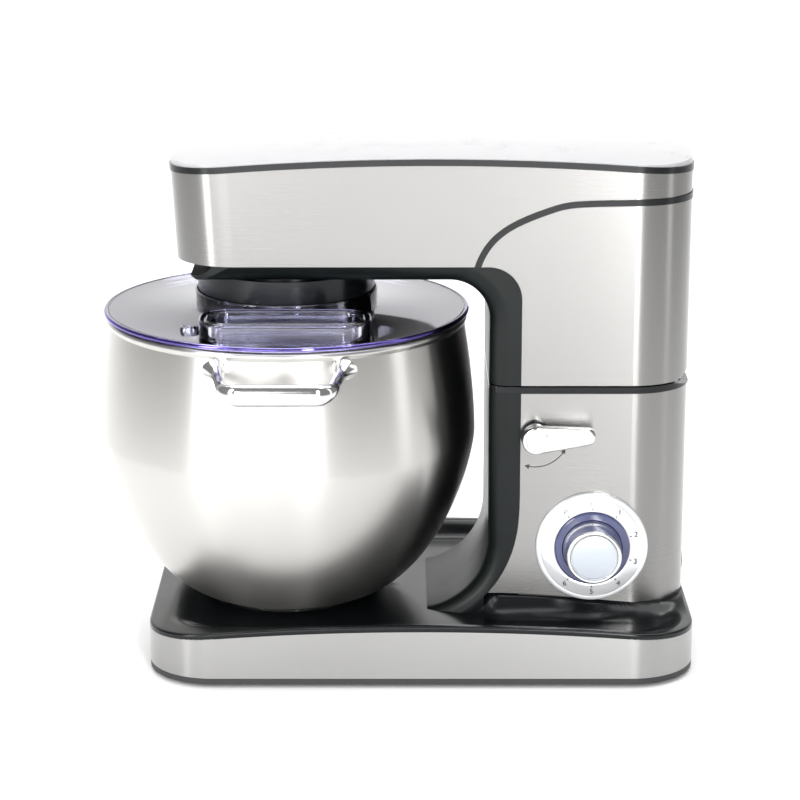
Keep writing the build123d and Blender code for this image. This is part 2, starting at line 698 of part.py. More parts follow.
def crown_block(lift):
    """Everything under the top cover's doubly curved surface, moved up by lift."""
    half = HALF_W + 20
    edge_h = 1.2
    crest = TOP_Z + edge_h + HALF_W ** 2 / (2 * CROWN_R) + lift
    side = crest - half ** 2 / (2 * CROWN_R)
    outline = ThreePointArc((-half, side), (0, crest), (half, side))
    outline += Polyline((half, side), (half, TOP_Z - 60), (-half, TOP_Z - 60), (-half, side))
    turn = Axis((TOP_X, 0, TOP_ARCH_Z), (0, 1, 0))
    section = Pos(TOP_X, 0, 0) * (Plane.YZ * make_face(outline))
    spread = 7.0
    return revolve(section.rotate(turn, -spread), turn, revolution_arc=2 * spread)


def top_cover():
    """Light cover with a low crown, set just inside the top trim."""
    body = (crown_block(0) & head_form(0.5, 300, 420)) - under_top(0.05)
    return body - (crown_block(-2.0) & head_form(3.2, 300, 420))


def head_housing():
    """Moulded inner housing that carries the head's panels."""
    walls = head_skin(STEEL_T + 0.1, WALL, 200, 410) & under_top(-0.2)
    low = SKIRT_Z + SEAM
    edge = NECK_EDGE_X + SEAM
    keep = Polyline((-REACH, low), (edge, low), (edge, HEAD_LOW), (REACH, HEAD_LOW), (REACH, 430),
                    (-REACH, 430), (-REACH, low))
    return head_relief(walls & slab(keep))


def head_lower_cover():
    """Upper half of the black C: underside of the head and front of the neck."""
    shell = (c_upper(0) & c_upper_limit() & head_form(0, 200, 400)) - c_upper(COVER_WALL)
    for x, y in FRAME_SCREWS:
        shell += cyl(x, y, UNDER_Z + COVER_WALL - 0.5, 5, PLATE_Z - 0.1 - UNDER_Z - COVER_WALL + 0.5)
        shell -= cyl(x, y, PLATE_Z - 10, SCREW_R + 0.05, 20)
    return shell - cyl(BOWL_X, 0, UNDER_Z - 5, HUB_R - 6.2, 20)


# ---------------------------------------------------------------- tilting head: drive
PLATE_Z = 313.5           # underside of the head's frame plate
PLATE_T = 4.5
TAB_Y = HALF_W - STEEL_T - WALL - 0.2     # the plate's side tabs end just inside the shell
GEAR_Z = PLATE_Z + PLATE_T + 4.3
FINE = 1.25               # gear modules
COARSE = 1.5
PINION = 18
WHEEL = 54
RING_TEETH = 60
PLANET_TEETH = 20
BACKLASH = 0.22
IDLER_X = BOWL_X + COARSE * (PINION + WHEEL) / 2
PULLEY_X = IDLER_X + FINE * (PINION + WHEEL) / 2
DRIVE_PULLEY_R = 35.0
MOTOR_PULLEY_R = 10.0
PULLEY_Z = 352.0
PULLEY_H = 15.0
HUB_SHAFT_R = 8.0
PIN_R = 4.0
PRESSURE = radians(20)


def gear_outline(teeth, module, tip, root, gain, phase):
    """Involute gear outline: tip and root radii, tooth thickness gain, first tooth's direction in degrees."""
    pitch = module * teeth / 2
    base = pitch * cos(PRESSURE)
    half = (pi * module / 2 + gain) / (2 * pitch)
    involute = tan(PRESSURE) - PRESSURE

    def half_angle(radius):
        lean = acos(min(1.0, base / radius))
        return half + involute - (tan(lean) - lean)

    low = max(base, root)
    radii = [low + (tip - low) * (k / 4) for k in range(5)]
    if root < low - 0.05:
        radii = [root] + radii
    points = []
    for tooth in range(teeth):
        middle = radians(phase + 360 * tooth / teeth)
        flank = [(r, half_angle(max(r, low))) for r in radii]
        for r, angle in flank:
            points.append((r * cos(middle - angle), r * sin(middle - angle)))
        for r, angle in reversed(flank):
            points.append((r * cos(middle + angle), r * sin(middle + angle)))
    return make_face(Polyline(*points, points[0]))


def spur(x, y, z, teeth, module, height, phase):
    """External gear standing on z."""
    pitch = module * teeth / 2
    face = gear_outline(teeth, module, pitch + 0.92 * module, pitch - 1.2 * module, -BACKLASH, phase)
    return Pos(x, y, z) * extrude(face, height)


def ring_gear():
    """Fixed internal gear round the planet gear."""
    pitch = COARSE * RING_TEETH / 2
    space = gear_outline(RING_TEETH, COARSE, pitch + 1.25 * COARSE, pitch - 0.9 * COARSE, BACKLASH, 180.0)
    ring = cyl(BOWL_X, 0, 300, HUB_R - 9.7, PLATE_Z - 0.1 - 300)
    return ring - Pos(BOWL_X, 0, 299) * extrude(space, 20)


def half_pitch(teeth):
    """Half the angle between two teeth."""
    return 180.0 / teeth


def output_gear():
    """Large gear pressed on the hub's shaft."""
    gear = spur(BOWL_X, 0, GEAR_Z, WHEEL, COARSE, 9.5, 0.0)
    gear += tube(BOWL_X, 0, GEAR_Z, 14, HUB_SHAFT_R, 11)
    return gear - cyl(BOWL_X, 0, GEAR_Z - 1, HUB_SHAFT_R, 20)


def idler_gear():
    """Double gear that turns on a fixed pin."""
    low = spur(IDLER_X, 0, GEAR_Z, PINION, COARSE, 12.2, 180 + half_pitch(PINION))
    high = spur(IDLER_X, 0, GEAR_Z + 12.2, WHEEL, FINE, 9.0, 0.0)
    return low + high - cyl(IDLER_X, 0, GEAR_Z - 1, PIN_R + RUN_FIT, 40)


def pulley_shaft():
    """Shaft with the first pinion, under the drive pulley."""
    shaft = cyl(PULLEY_X, 0, PLATE_Z - 6, PIN_R, PULLEY_Z + PULLEY_H + 2 - PLATE_Z + 6)
    pinion = spur(PULLEY_X, 0, GEAR_Z + 12.2, PINION, FINE, 9.5, 180 + half_pitch(PINION))
    return shaft + pinion


def pulley(x, radius, bore):
    """Flanged belt pulley."""
    wheel = cyl(x, 0, PULLEY_Z, radius, PULLEY_H)
    wheel += cyl(x, 0, PULLEY_Z, radius + 2.2, 1.3)
    wheel += cyl(x, 0, PULLEY_Z + PULLEY_H - 1.3, radius + 2.2, 1.3)
    return wheel - cyl(x, 0, PULLEY_Z - 1, bore, PULLEY_H + 2)


def drive_pulley():
    """Large pulley with a dished web."""
    wheel = pulley(PULLEY_X, DRIVE_PULLEY_R, PIN_R)
    dish = tube(PULLEY_X, 0, PULLEY_Z + 5, DRIVE_PULLEY_R - 4, 9, PULLEY_H)
    return wheel - dish


def drive_belt():
    """Belt round both pulleys."""
    def loop(gap, z0, z1):
        big = Pos(PULLEY_X, 0) * Circle(DRIVE_PULLEY_R + gap)
        small = Pos(MOTOR_X, 0) * Circle(MOTOR_PULLEY_R + gap)
        outline = make_hull(big.edges() + small.edges())
        return Pos(0, 0, z0) * extrude(outline, z1 - z0)
    low = PULLEY_Z + 2.0
    high = PULLEY_Z + PULLEY_H - 2.0
    return loop(1.9, low, high) - loop(0.3, low - 1, high + 1)


def frame_plan(inset, z, height):
    """Plan of the head's frame plate."""
    return prism(HEAD_FRONT + 30 + inset, HINGE_X + EAR_R - 6, HALF_W - 10 - inset, 34, z, z + height)


def head_frame():
    """Cast frame of the head: plate with bearing bosses and the two hinge arms."""
    frame = frame_plan(0, PLATE_Z, PLATE_T)
    frame += frame_plan(0, PLATE_Z + PLATE_T, 3.5) - frame_plan(4, PLATE_Z + PLATE_T - 1, 8)
    for x in (-20, 100):
        frame += box(x - 8, x + 8, -TAB_Y, TAB_Y, PLATE_Z, PLATE_Z + PLATE_T)
    frame += cyl(BOWL_X, 0, PLATE_Z, 17, PLATE_T + 3.5)
    frame += cyl(PULLEY_X, 0, PLATE_Z - 8, 12, PLATE_T + 11.5)
    boss = EAR_R - 0.8
    for side in (-1, 1):
        middle = side * (ARM_IN + EAR_IN - 2) / 2
        arm = Polyline((166, PLATE_Z), (HINGE_X, PLATE_Z), (HINGE_X + boss, HINGE_Z),
                       (HINGE_X - boss, HINGE_Z), (180, 240), (166, PLATE_Z))
        frame += Pos(0, middle, 0) * slab(arm, (EAR_IN - 2 - ARM_IN) / 2)
        y0, y1 = sorted((side * ARM_IN, side * (EAR_IN - 2)))
        frame += cross_cyl(HINGE_X, HINGE_Z, boss, y0, y1)
    frame -= cross_cyl(HINGE_X, HINGE_Z, HINGE_PIN_R + RUN_FIT, -60, 60)
    frame -= cyl(BOWL_X, 0, PLATE_Z - 1, BEARING_R, 20)
    frame -= cyl(PULLEY_X, 0, PLATE_Z - 9, 9, 30)
    frame -= cyl(MOTOR_X, 0, PLATE_Z - 1, 11, 20)
    for x, y in FRAME_SCREWS:
        frame -= cyl(x, y, PLATE_Z - 1, SCREW_R + 0.1, 20)
    return frame - cyl(IDLER_X, 0, PLATE_Z - 1, PIN_R, 20)


BEARING_R = 12.0


def idler_pin():
    """Fixed pin of the double gear."""
    return cyl(IDLER_X, 0, PLATE_Z + 0.2, PIN_R, PULLEY_Z - 3 - PLATE_Z)


def shaft_bearings():
    """Bearings of the hub shaft, pulley shaft and motor shaft."""
    return group([
        tube(BOWL_X, 0, PLATE_Z + 0.2, BEARING_R, HUB_SHAFT_R + RUN_FIT, PLATE_T + 3),
        tube(PULLEY_X, 0, PLATE_Z - 7, 9, PIN_R + RUN_FIT, 14),
        tube(MOTOR_X, 0, PLATE_Z + 0.2, 11, PIN_R + RUN_FIT, 7),
        tube(MOTOR_X, 0, MOTOR_LOW - 8, 9, PIN_R + RUN_FIT, 5),
    ])


MOTOR_LOW = 238.0
MOTOR_HIGH = 304.0
ROTOR_R = 19.0


def motor_stator():
    """Laminated ring of the motor."""
    return tube(MOTOR_X, 0, MOTOR_LOW, MOTOR_R, ROTOR_R + 0.8, MOTOR_HIGH - MOTOR_LOW)


def motor_cradle():
    """Lower end frame of the motor, hung from the head's frame on two straps."""
    cradle = cyl(MOTOR_X, 0, MOTOR_LOW - 9, 14, 7)
    cradle += box(MOTOR_X - 7, MOTOR_X + 7, -MOTOR_R - 5, MOTOR_R + 5, MOTOR_LOW - 9, MOTOR_LOW - 5)
    for side in (-1, 1):
        y0, y1 = sorted((side * (MOTOR_R + 0.1), side * (MOTOR_R + 5)))
        cradle += box(MOTOR_X - 7, MOTOR_X + 7, y0, y1, MOTOR_LOW - 9, PLATE_Z)
    return cradle - cyl(MOTOR_X, 0, MOTOR_LOW - 8, 9, 10) - cyl(MOTOR_X, 0, MOTOR_LOW - 12, 6, 10)


def motor_rotor():
    """Wound rotor with its commutator."""
    core = tube(MOTOR_X, 0, MOTOR_LOW + 6, ROTOR_R, PIN_R, MOTOR_HIGH - MOTOR_LOW - 26)
    core += tube(MOTOR_X, 0, MOTOR_HIGH - 20, 15, PIN_R, 6)
    return core + tube(MOTOR_X, 0, MOTOR_HIGH - 14, 9, PIN_R, 12)


def motor_shaft():
    """Motor's shaft, from the fan to the small pulley."""
    return cyl(MOTOR_X, 0, FAN_Z, PIN_R, PULLEY_Z + PULLEY_H + 1.5 - FAN_Z)


FAN_Z = 219.0


def motor_fan():
    """Cooling fan under the motor."""
    fan = tube(MOTOR_X, 0, FAN_Z, 9, PIN_R, 7) + tube(MOTOR_X, 0, FAN_Z, 26, PIN_R, 1.4)
    for k in range(10):
        blade = box(8.5, 25.5, -0.7, 0.7, FAN_Z + 1, FAN_Z + 7)
        fan += Pos(MOTOR_X, 0, 0) * Rot(0, 0, 36 * k) * blade
    return fan - cyl(MOTOR_X, 0, FAN_Z - 1, PIN_R, 10)


def catch_bar():
    """Bar that the latch hook holds, on a bracket hung from the frame."""
    bar = cross_cyl(CATCH_X, CATCH_Z, CATCH_R, -HALF_W + 7, -HALF_W + 27)
    for y0 in (-HALF_W + 5.5, -HALF_W + 26):
        bar += box(CATCH_X - 5, CATCH_X + 5, y0, y0 + 2, CATCH_Z - 4, PLATE_Z)
    bar += box(CATCH_X - 5, CATCH_X + 5, -HALF_W + 10, -HALF_W + 28, PLATE_Z - 2, PLATE_Z)
    return bar & box(-REACH, REACH, -HALF_W + 4, REACH, 0, PLATE_Z)


def frame_screw(x, y):
    """Screw from the frame plate into the housing's boss."""
    return cyl(x, y, PLATE_Z + PLATE_T + 0.1, 4.2, 2.6) + cyl(x, y, PLATE_Z - 9, SCREW_R, PLATE_T + 9.2)


SCREW_R = 1.9
FRAME_SCREWS = [(x, side * (HALF_W - 20)) for x in (-25, 25) for side in (-1, 1)]


# ---------------------------------------------------------------- mixing head
CARRIER_TOP = 299.0
TOOL_X = BOWL_X - ORBIT
TOOL_SHAFT_R = 6.0
TOOL_LOW = 226.0


def hub_housing():
    """Fixed black housing under the head, with a groove for the lid's tabs."""
    top = UNDER_Z - 0.1
    body = cyl(BOWL_X, 0, HUB_LOW_Z, HUB_R, top - HUB_LOW_Z)
    body += cyl(BOWL_X, 0, top - 3, HUB_R - 6.5, PLATE_Z - top + 3)
    body -= cyl(BOWL_X, 0, HUB_LOW_Z - 1, HUB_R - 4, top - 3 - HUB_LOW_Z + 1)
    body -= cyl(BOWL_X, 0, HUB_LOW_Z, HUB_R - 9.5, 80)
    return body - tube(BOWL_X, 0, HUB_LOW_Z + 4, HUB_R + 1, HUB_R - 2, 5)


def planet_hub():
    """Rotating hub with its shaft; the tool's shaft turns in it off centre."""
    outer = HUB_R - 4 - 0.6
    hub = cyl(BOWL_X, 0, CARRIER_LOW_Z, outer, 5) + tube(BOWL_X, 0, CARRIER_LOW_Z, outer, outer - 3, 18)
    hub += cyl(BOWL_X, 0, CARRIER_LOW_Z, 13, CARRIER_TOP - CARRIER_LOW_Z)
    hub += cyl(TOOL_X, 0, CARRIER_LOW_Z - 3, 14, CARRIER_TOP - CARRIER_LOW_Z + 3)
    hub += box(TOOL_X, BOWL_X, -5, 5, CARRIER_LOW_Z, CARRIER_TOP - 6)
    hub += box(BOWL_X, BOWL_X + outer - 2, -4, 4, CARRIER_LOW_Z, CARRIER_TOP - 14)
    hub += cyl(BOWL_X, 0, CARRIER_LOW_Z, HUB_SHAFT_R, GEAR_Z + 11 - CARRIER_LOW_Z)
    return hub - cyl(TOOL_X, 0, CARRIER_LOW_Z - 5, TOOL_SHAFT_R + RUN_FIT, 60)


def planet_gear():
    """Gear on the tool's shaft that rolls inside the ring gear."""
    gear = spur(TOOL_X, 0, 300.4, PLANET_TEETH, COARSE, 11, 180.0)
    return gear - cyl(TOOL_X, 0, 299, TOOL_SHAFT_R, 20)


def tool_shaft():
    """Shaft that the dough hook hangs on."""
    return cyl(TOOL_X, 0, TOOL_LOW, TOOL_SHAFT_R, 312 - TOOL_LOW) - tool_pin_hole()


def tool_pin_hole():
    """Bore for the cross pin."""
    return cross_cyl(TOOL_X, TOOL_LOW + 12, 2.0, -20, 20)


def tool_pin():
    """Cross pin that locks in the hook's slot."""
    return cross_cyl(TOOL_X, TOOL_LOW + 12, 2.0, -14, 14)


def dough_hook():
    """Cast hook: socket with a collar and a curved arm."""
    top = TOOL_LOW + 26
    socket = cyl(TOOL_X, 0, TOOL_LOW - 8, 11, top - TOOL_LOW + 8) + cyl(TOOL_X, 0, top - 3, 21, 3)
    route = [(0, TOOL_LOW - 4), (0, TOOL_LOW - 22), (-36, TOOL_LOW - 50), (-36, TOOL_LOW - 112),
             (2, TOOL_LOW - 168), (30, TOOL_LOW - 150)]
    path = Plane.XZ * FilletPolyline(*route, radius=[12, 22, 34, 14])
    section = Plane(origin=path @ 0, z_dir=path % 0) * Circle(6)
    arm = Pos(TOOL_X, 0, 0) * sweep(section, path=path)
    hook = socket + arm
    hook -= cyl(TOOL_X, 0, TOOL_LOW - 0.1, TOOL_SHAFT_R + RUN_FIT, 60)
    hook -= cross_cyl(TOOL_X, TOOL_LOW + 12, 2.15, -20, 20)
    return hook


# ---------------------------------------------------------------- lid
CHUTE_X = BOWL_X + 3
COLLAR_IN = HUB_R + 0.5
CHUTE_Y = -(COLLAR_IN + 2 + 3 + CHUTE_W / 2)


def chute_block(inset, z0, z1):
    """The chute's plan, drawn up."""
    plan = RectangleRounded(CHUTE_L - 2 * inset, CHUTE_W - 2 * inset, CHUTE_R - inset)
    return Pos(CHUTE_X, CHUTE_Y, z0) * extrude(plan, z1 - z0)


def splash_lid():
    """Clear lid: flat disc with a beaded edge, a collar with bayonet tabs and a finger tab."""
    top = LID_Z + LID_T
    lid = cyl(BOWL_X, 0, LID_Z, LID_R, LID_T)
    lid += tube(BOWL_X, 0, LID_Z - 1.6, LID_R, LID_R - 2.2, LID_T + 2.2)
    lid += cyl(BOWL_X, 0, LID_Z, COLLAR_IN + 2, COLLAR_H + LID_T)
    lid -= cyl(BOWL_X, 0, LID_Z - 5, COLLAR_IN, 50)
    for k in range(3):
        lid += sector(BOWL_X, 0, HUB_LOW_Z + 5, HUB_R - 1.4, COLLAR_IN + 1, 3, 120 * k + 30, 9)
    tab_x = CHUTE_X - CHUTE_L / 2 - 9
    tab_y = CHUTE_Y + 14
    lid += cyl(tab_x, tab_y, LID_Z, 6, LID_T + 4)
    lid -= cyl(tab_x, tab_y, top - 0.5, 3.4, 20)
    return lid - chute_block(CHUTE_WALL - 0.3, LID_Z - 5, LID_Z + 10)


CHUTE_WALL = 7.0          # the chute's double wall


def feed_chute():
    """Double-walled pouring chute clipped through the lid."""
    top = LID_Z + LID_T + CHUTE_H
    body = chute_block(0, LID_Z + LID_T + 0.05, top) - chute_block(2, LID_Z, top - 2)
    body += chute_block(CHUTE_WALL - 2, LID_Z + LID_T + 0.05, top) + chute_block(CHUTE_WALL, LID_Z - 1.6, top)
    return body - chute_block(CHUTE_WALL + 2, LID_Z - 5, top + 5)


# ---------------------------------------------------------------- bowl
BOWL_N = 1.47
BOWL_M = 1.84


def bowl_form(inset):
    """Filled bowl, its wall moved inwards by inset."""
    belly = BOWL_BELLY_R - inset
    floor_r = BOWL_FLOOR_R - 0.5 * inset
    floor_z = BOWL_FLOOR_Z + inset
    depth = BOWL_BELLY_Z - floor_z
    points = []
    for k in range(9):
        a = radians(90 - 11.25 * k)
        points.append((floor_r + (belly - floor_r) * max(0.0, cos(a)) ** (2 / BOWL_M),
                       BOWL_BELLY_Z - depth * sin(a) ** (2 / BOWL_N)))
    rise = BOWL_RIM_Z - BOWL_BELLY_Z
    for share in (0.45, 0.75, 1.0):
        points.append((belly - (BOWL_BELLY_R - BOWL_RIM_R) * share ** 1.6, BOWL_BELLY_Z + rise * share))
    top = points[-1]
    high = top[1] + inset
    lid = [top, (top[0], high), (0, high), (0, floor_z)] if inset > 0 else [top, (0, top[1]), (0, floor_z)]
    outline = Polyline((0, floor_z), points[0]) + Spline(points) + Polyline(*lid)
    return Pos(BOWL_X, 0, 0) * revolve(Plane.XZ * make_face(outline), Axis.Z)


def bowl():
    """Spun steel bowl with a rolled rim."""
    bead = Plane.XZ * (Pos(BOWL_RIM_R + 0.2, BOWL_RIM_Z - BEAD_R) * Circle(BEAD_R))
    rim = Pos(BOWL_X, 0, 0) * revolve(bead, Axis.Z)
    return bowl_form(0) + rim - bowl_form(BOWL_T)


def bowl_foot():
    """Ring welded under the bowl, with three bayonet lugs."""
    low = WELL_Z + 0.4
    foot = tube(BOWL_X, 0, low, FOOT_RING_R, FOOT_RING_R - 2, BOWL_FLOOR_Z - low)
    for k in range(3):
        foot += sector(BOWL_X, 0, WELL_Z + 2.2, FOOT_RING_R - 1, FOOT_RING_R + LUG_OUT, 3.0, 120 * k + 60, 12)
    return foot


HANDLE_HALF = 46.5        # from the bowl's axis plane to each pad
GRIP_HALF = 38.0
HANDLE_ROD_R = 5.0
PAD_R = 7.8
HANDLE_OUT = 42.0
HANDLE_Z = 245.0
HANDLE_DROP = 16.0        # degrees the grip slopes down


def bowl_handle(side):
    """Cast loop handle on one side: two pads on the wall and a drooping grip."""
    wall_r = BOWL_RIM_R + 1.4
    depth = sqrt(wall_r ** 2 - HANDLE_HALF ** 2)
    route = [(-HANDLE_HALF, -2), (-GRIP_HALF, HANDLE_OUT), (GRIP_HALF, HANDLE_OUT), (HANDLE_HALF, -2)]
    loop = FilletPolyline(*route, radius=17)
    tilt = radians(HANDLE_DROP)
    plane = Plane(origin=(BOWL_X, -depth, HANDLE_Z), x_dir=(-1, 0, 0), z_dir=(0, -sin(tilt), cos(tilt)))
    path = plane * loop
    section = Plane(origin=path @ 0, z_dir=path % 0) * Circle(HANDLE_ROD_R)
    handle = sweep(section, path=path)
    for sign in (-1, 1):
        angle = degrees(atan2(-depth, sign * HANDLE_HALF))
        pad = Pos(wall_r * cos(radians(angle)), wall_r * sin(radians(angle)), HANDLE_Z) * Rot(0, 0, angle)
        handle += Pos(BOWL_X, 0, 0) * pad * Rot(0, 90, 0) * Cylinder(PAD_R, 4)
    handle -= bowl_form(-0.02)
    return Pos(BOWL_X, 0, 0) * Rot(0, 0, 0 if side < 0 else 180) * Pos(-BOWL_X, 0, 0) * handle


# ---------------------------------------------------------------- write the nodes
def main():
    """Write every node."""
    os.makedirs("parts", exist_ok=True)
    single = [
        base_plate, base_band, base_deck, bowl_seat, column_panel, column_housing, neck_cover,
        column_rim, column_frame, hinge_pin, lever_bush, latch_spring, dial_bezel, light_ring,
        speed_switch, control_board, cord_gland, head_side_panel, neck_panel, panel_trim, top_trim,
        top_cover, head_housing, head_lower_cover, head_frame, ring_gear, hub_housing, idler_pin,
        drive_belt, motor_stator, motor_cradle, catch_bar,
        planet_hub, output_gear, idler_gear, pulley_shaft, drive_pulley, motor_rotor, motor_shaft, motor_fan,
        planet_gear, tool_shaft, tool_pin, dough_hook, splash_lid, feed_chute, latch_shaft, release_lever,
        speed_knob, knob_face, knob_shaft, bowl, bowl_foot, shaft_bearings,
    ]
    for make in single:
        save(make(), make.__name__)
    save(pulley(MOTOR_X, MOTOR_PULLEY_R, PIN_R), "motor_pulley")
    save(group(suction_foot(x, y) for x, y in FOOT_PADS), "suction_feet")
    save(group(base_screw(x, y) for x, y in BASE_SCREWS), "base_screws")
    save(group(column_bolt(x, y) for x, y in COLUMN_BOLTS), "column_bolts")
    save(group(frame_screw(x, y) for x, y in FRAME_SCREWS), "frame_screws")
    save(group(bowl_handle(side) for side in (-1, 1)), "bowl_handles")


main()
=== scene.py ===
# %% [markdown]
# # A tilt-head stand mixer, dressed
# The machine's shapes come from a CAD model: every panel, gear and hinge is already in place, in metres.
# This file gives them their finishes, and swaps the plainest shapes for smoother meshes that stand in the
# same room. It is laid out as a lesson: each step first says what the real piece is and how it is made
# here.

# %% Load the frame
from math import acos, cos, hypot, pi, radians, sin, sqrt

import bmesh
import bpy
from mathutils import Matrix, Vector


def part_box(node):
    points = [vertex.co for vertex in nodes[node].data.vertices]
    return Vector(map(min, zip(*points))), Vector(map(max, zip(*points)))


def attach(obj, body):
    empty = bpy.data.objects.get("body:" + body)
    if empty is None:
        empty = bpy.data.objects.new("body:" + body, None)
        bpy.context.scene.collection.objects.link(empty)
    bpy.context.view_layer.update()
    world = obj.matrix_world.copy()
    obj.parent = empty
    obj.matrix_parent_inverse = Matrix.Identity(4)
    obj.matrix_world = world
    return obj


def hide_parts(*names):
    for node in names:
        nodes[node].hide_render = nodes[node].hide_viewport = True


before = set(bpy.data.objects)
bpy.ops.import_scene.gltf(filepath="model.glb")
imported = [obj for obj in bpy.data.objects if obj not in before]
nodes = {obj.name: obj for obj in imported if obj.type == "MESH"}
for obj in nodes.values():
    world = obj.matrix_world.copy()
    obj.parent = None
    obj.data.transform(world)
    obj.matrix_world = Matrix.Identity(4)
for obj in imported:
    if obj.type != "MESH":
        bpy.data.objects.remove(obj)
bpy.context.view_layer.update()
MM = 0.001
FLANK = 0.070              # from the middle plane to the column's and the head's flank


# %% [markdown]
# ## Shader maths as Python
# A material is a graph of nodes, and graphs are slow to read. A small class wraps one output socket, so
# that `0.04 + mask * 0.42` adds its Math nodes by itself. Colours go through Mix nodes, because a Math node
# turns a colour grey.

# %% Sockets that add up
class Sock:
    """One output socket, with the operators that shader maths needs."""

    def __init__(self, graph, out):
        self.graph = graph
        self.out = out

    def _math(self, kind, a, b):
        return self.graph.add("ShaderNodeMath", {"operation": kind}, {0: a, 1: b})

    def __add__(self, other):
        return self._math("ADD", self, other)

    def __radd__(self, other):
        return self._math("ADD", other, self)

    def __mul__(self, other):
        return self._math("MULTIPLY", self, other)

    def __rmul__(self, other):
        return self._math("MULTIPLY", other, self)


class Finish:
    """One material: a principled shader and the nodes that feed it."""

    def __init__(self, name, **constants):
        self.mat = bpy.data.materials.new(name)
        self.mat.use_nodes = True
        self.tree = self.mat.node_tree
        self.shader = self.tree.nodes["Principled BSDF"]
        for socket, value in constants.items():
            self.shader.inputs[socket.replace("_", " ")].default_value = value

    def add(self, kind, settings=None, values=None, pick=0):
        """Any node: its settings first, then its sockets' values or links."""
        node = self.tree.nodes.new(kind)
        for key, value in (settings or {}).items():
            if key == "stops":
                ramp = node.color_ramp
                while len(ramp.elements) < len(value):
                    ramp.elements.new(0.5)
                for element, (place, colour) in zip(ramp.elements, value):
                    element.position = place
                    element.color = colour
            else:
                setattr(node, key, value)
        for key, value in (values or {}).items():
            if isinstance(value, Sock):
                self.tree.links.new(value.out, node.inputs[key])
            else:
                node.inputs[key].default_value = value
        return Sock(self, node.outputs[pick])

    def place(self, scale=(1, 1, 1), turn=(0, 0, 0), shift=(0, 0, 0)):
        """Object coordinates in metres, scaled, turned and moved."""
        raw = self.add("ShaderNodeTexCoord", pick=3)
        return self.add("ShaderNodeMapping", {}, {0: raw, 1: shift, 2: turn, 3: scale})

    def noise(self, where, scale, detail=2.0, rough=0.5):
        """Soft noise between 0 and 1."""
        return self.add("ShaderNodeTexNoise", {}, {0: where, 2: scale, 3: detail, 4: rough})

    def ramp(self, value, low, high, first=0.0, last=1.0):
        """Value stretched from low..high to first..last, held at both ends."""
        return self.add("ShaderNodeMapRange", {}, {0: value, 1: low, 2: high, 3: first, 4: last})

    def blend(self, factor, a, b):
        """Colour a turning into colour b."""
        return self.add("ShaderNodeMix", {"data_type": "RGBA"}, {0: factor, 6: a, 7: b}, pick=2)

    def bump(self, height, distance, strength=1.0):
        """Send a height in through a Bump node."""
        out = self.add("ShaderNodeBump", {}, {0: strength, 1: distance, 3: height})
        self.feed("Normal", out)
        return self

    def feed(self, socket, value):
        """Drive one of the shader's sockets."""
        self.tree.links.new(value.out, self.shader.inputs[socket])
        return self


print("socket maths ready")


# %% [markdown]
# ## Brushed steel
# The panels are sheet steel brushed with a belt. The belt leaves fine straight scratches all in one
# direction, so a light smears across them into a long streak. Noise that is squeezed hard along one axis
# makes the scratches, and it drives a little roughness, a little colour and a very shallow bump.

# %% Steel finishes
def grey(value, tint=0.0):
    """A grey with a slightly cool or warm tint."""
    return (value - tint * 0.5, value, value + tint, 1.0)


def brushed(name, value, rough, squeeze, anisotropy=0.5, tint=0.004, contrast=0.02):
    """Brushed metal: the grain runs along the axis that squeeze stretches."""
    made = Finish(name, Metallic=1.0, Anisotropic=anisotropy, Anisotropic_Rotation=0.25)
    grain = made.noise(made.place(squeeze), 1.0, 3.0, 0.65)
    broad = made.noise(made.place((6, 6, 6)), 1.0, 2.0)
    worn = made.ramp(broad, 0.3, 0.7, -0.015, 0.02)
    made.feed("Roughness", made.ramp(grain, 0.3, 0.7, rough - contrast, rough + contrast) + worn)
    shade = made.ramp(grain, 0.25, 0.75)
    made.feed("Base Color", made.blend(shade, grey(value - contrast, tint), grey(value + contrast, tint)))
    made.bump(grain, 0.000001, contrast * 5)
    return made.mat


steel_panel = brushed("steel_panel", 0.27, 0.26, (3, 3, 4200), anisotropy=0.8, tint=-0.006, contrast=0.006)
steel_band = brushed("steel_band", 0.37, 0.25, (3, 3, 4200), anisotropy=0.8, tint=-0.004, contrast=0.007)
machined = brushed("machined_steel", 0.58, 0.25, (900, 900, 60))
ground = brushed("ground_gear_steel", 0.5, 0.3, (700, 700, 90))
print("steel finishes", steel_panel.name, steel_band.name, machined.name, ground.name)


# %% [markdown]
# ## Spun and polished metal
# The bowl is spun on a lathe and then satin polished, so its scratches run round it. An angle made with
# arctangent from the bowl's own axis would do, but grain that is squeezed along Z alone gives the same
# rings on any round piece. Handles, lever and knob are polished bright: what shows there is the faint haze
# of handling.

# %% Bowl, handle and knob metal
def polished(name, value, rough, coat=0.0):
    """Bright metal with a faint, blotchy haze."""
    made = Finish(name, Metallic=1.0, Coat_Weight=coat)
    haze = made.noise(made.place((30, 30, 30)), 1.0, 3.0, 0.6)
    fine = made.noise(made.place((500, 500, 500)), 1.0, 2.0)
    made.feed("Roughness", made.ramp(haze, 0.35, 0.7, rough, rough + 0.07) + fine * 0.03)
    made.feed("Base Color", made.blend(haze, grey(value - 0.04), grey(value)))
    made.bump(fine, 0.000004, 0.4)
    return made.mat


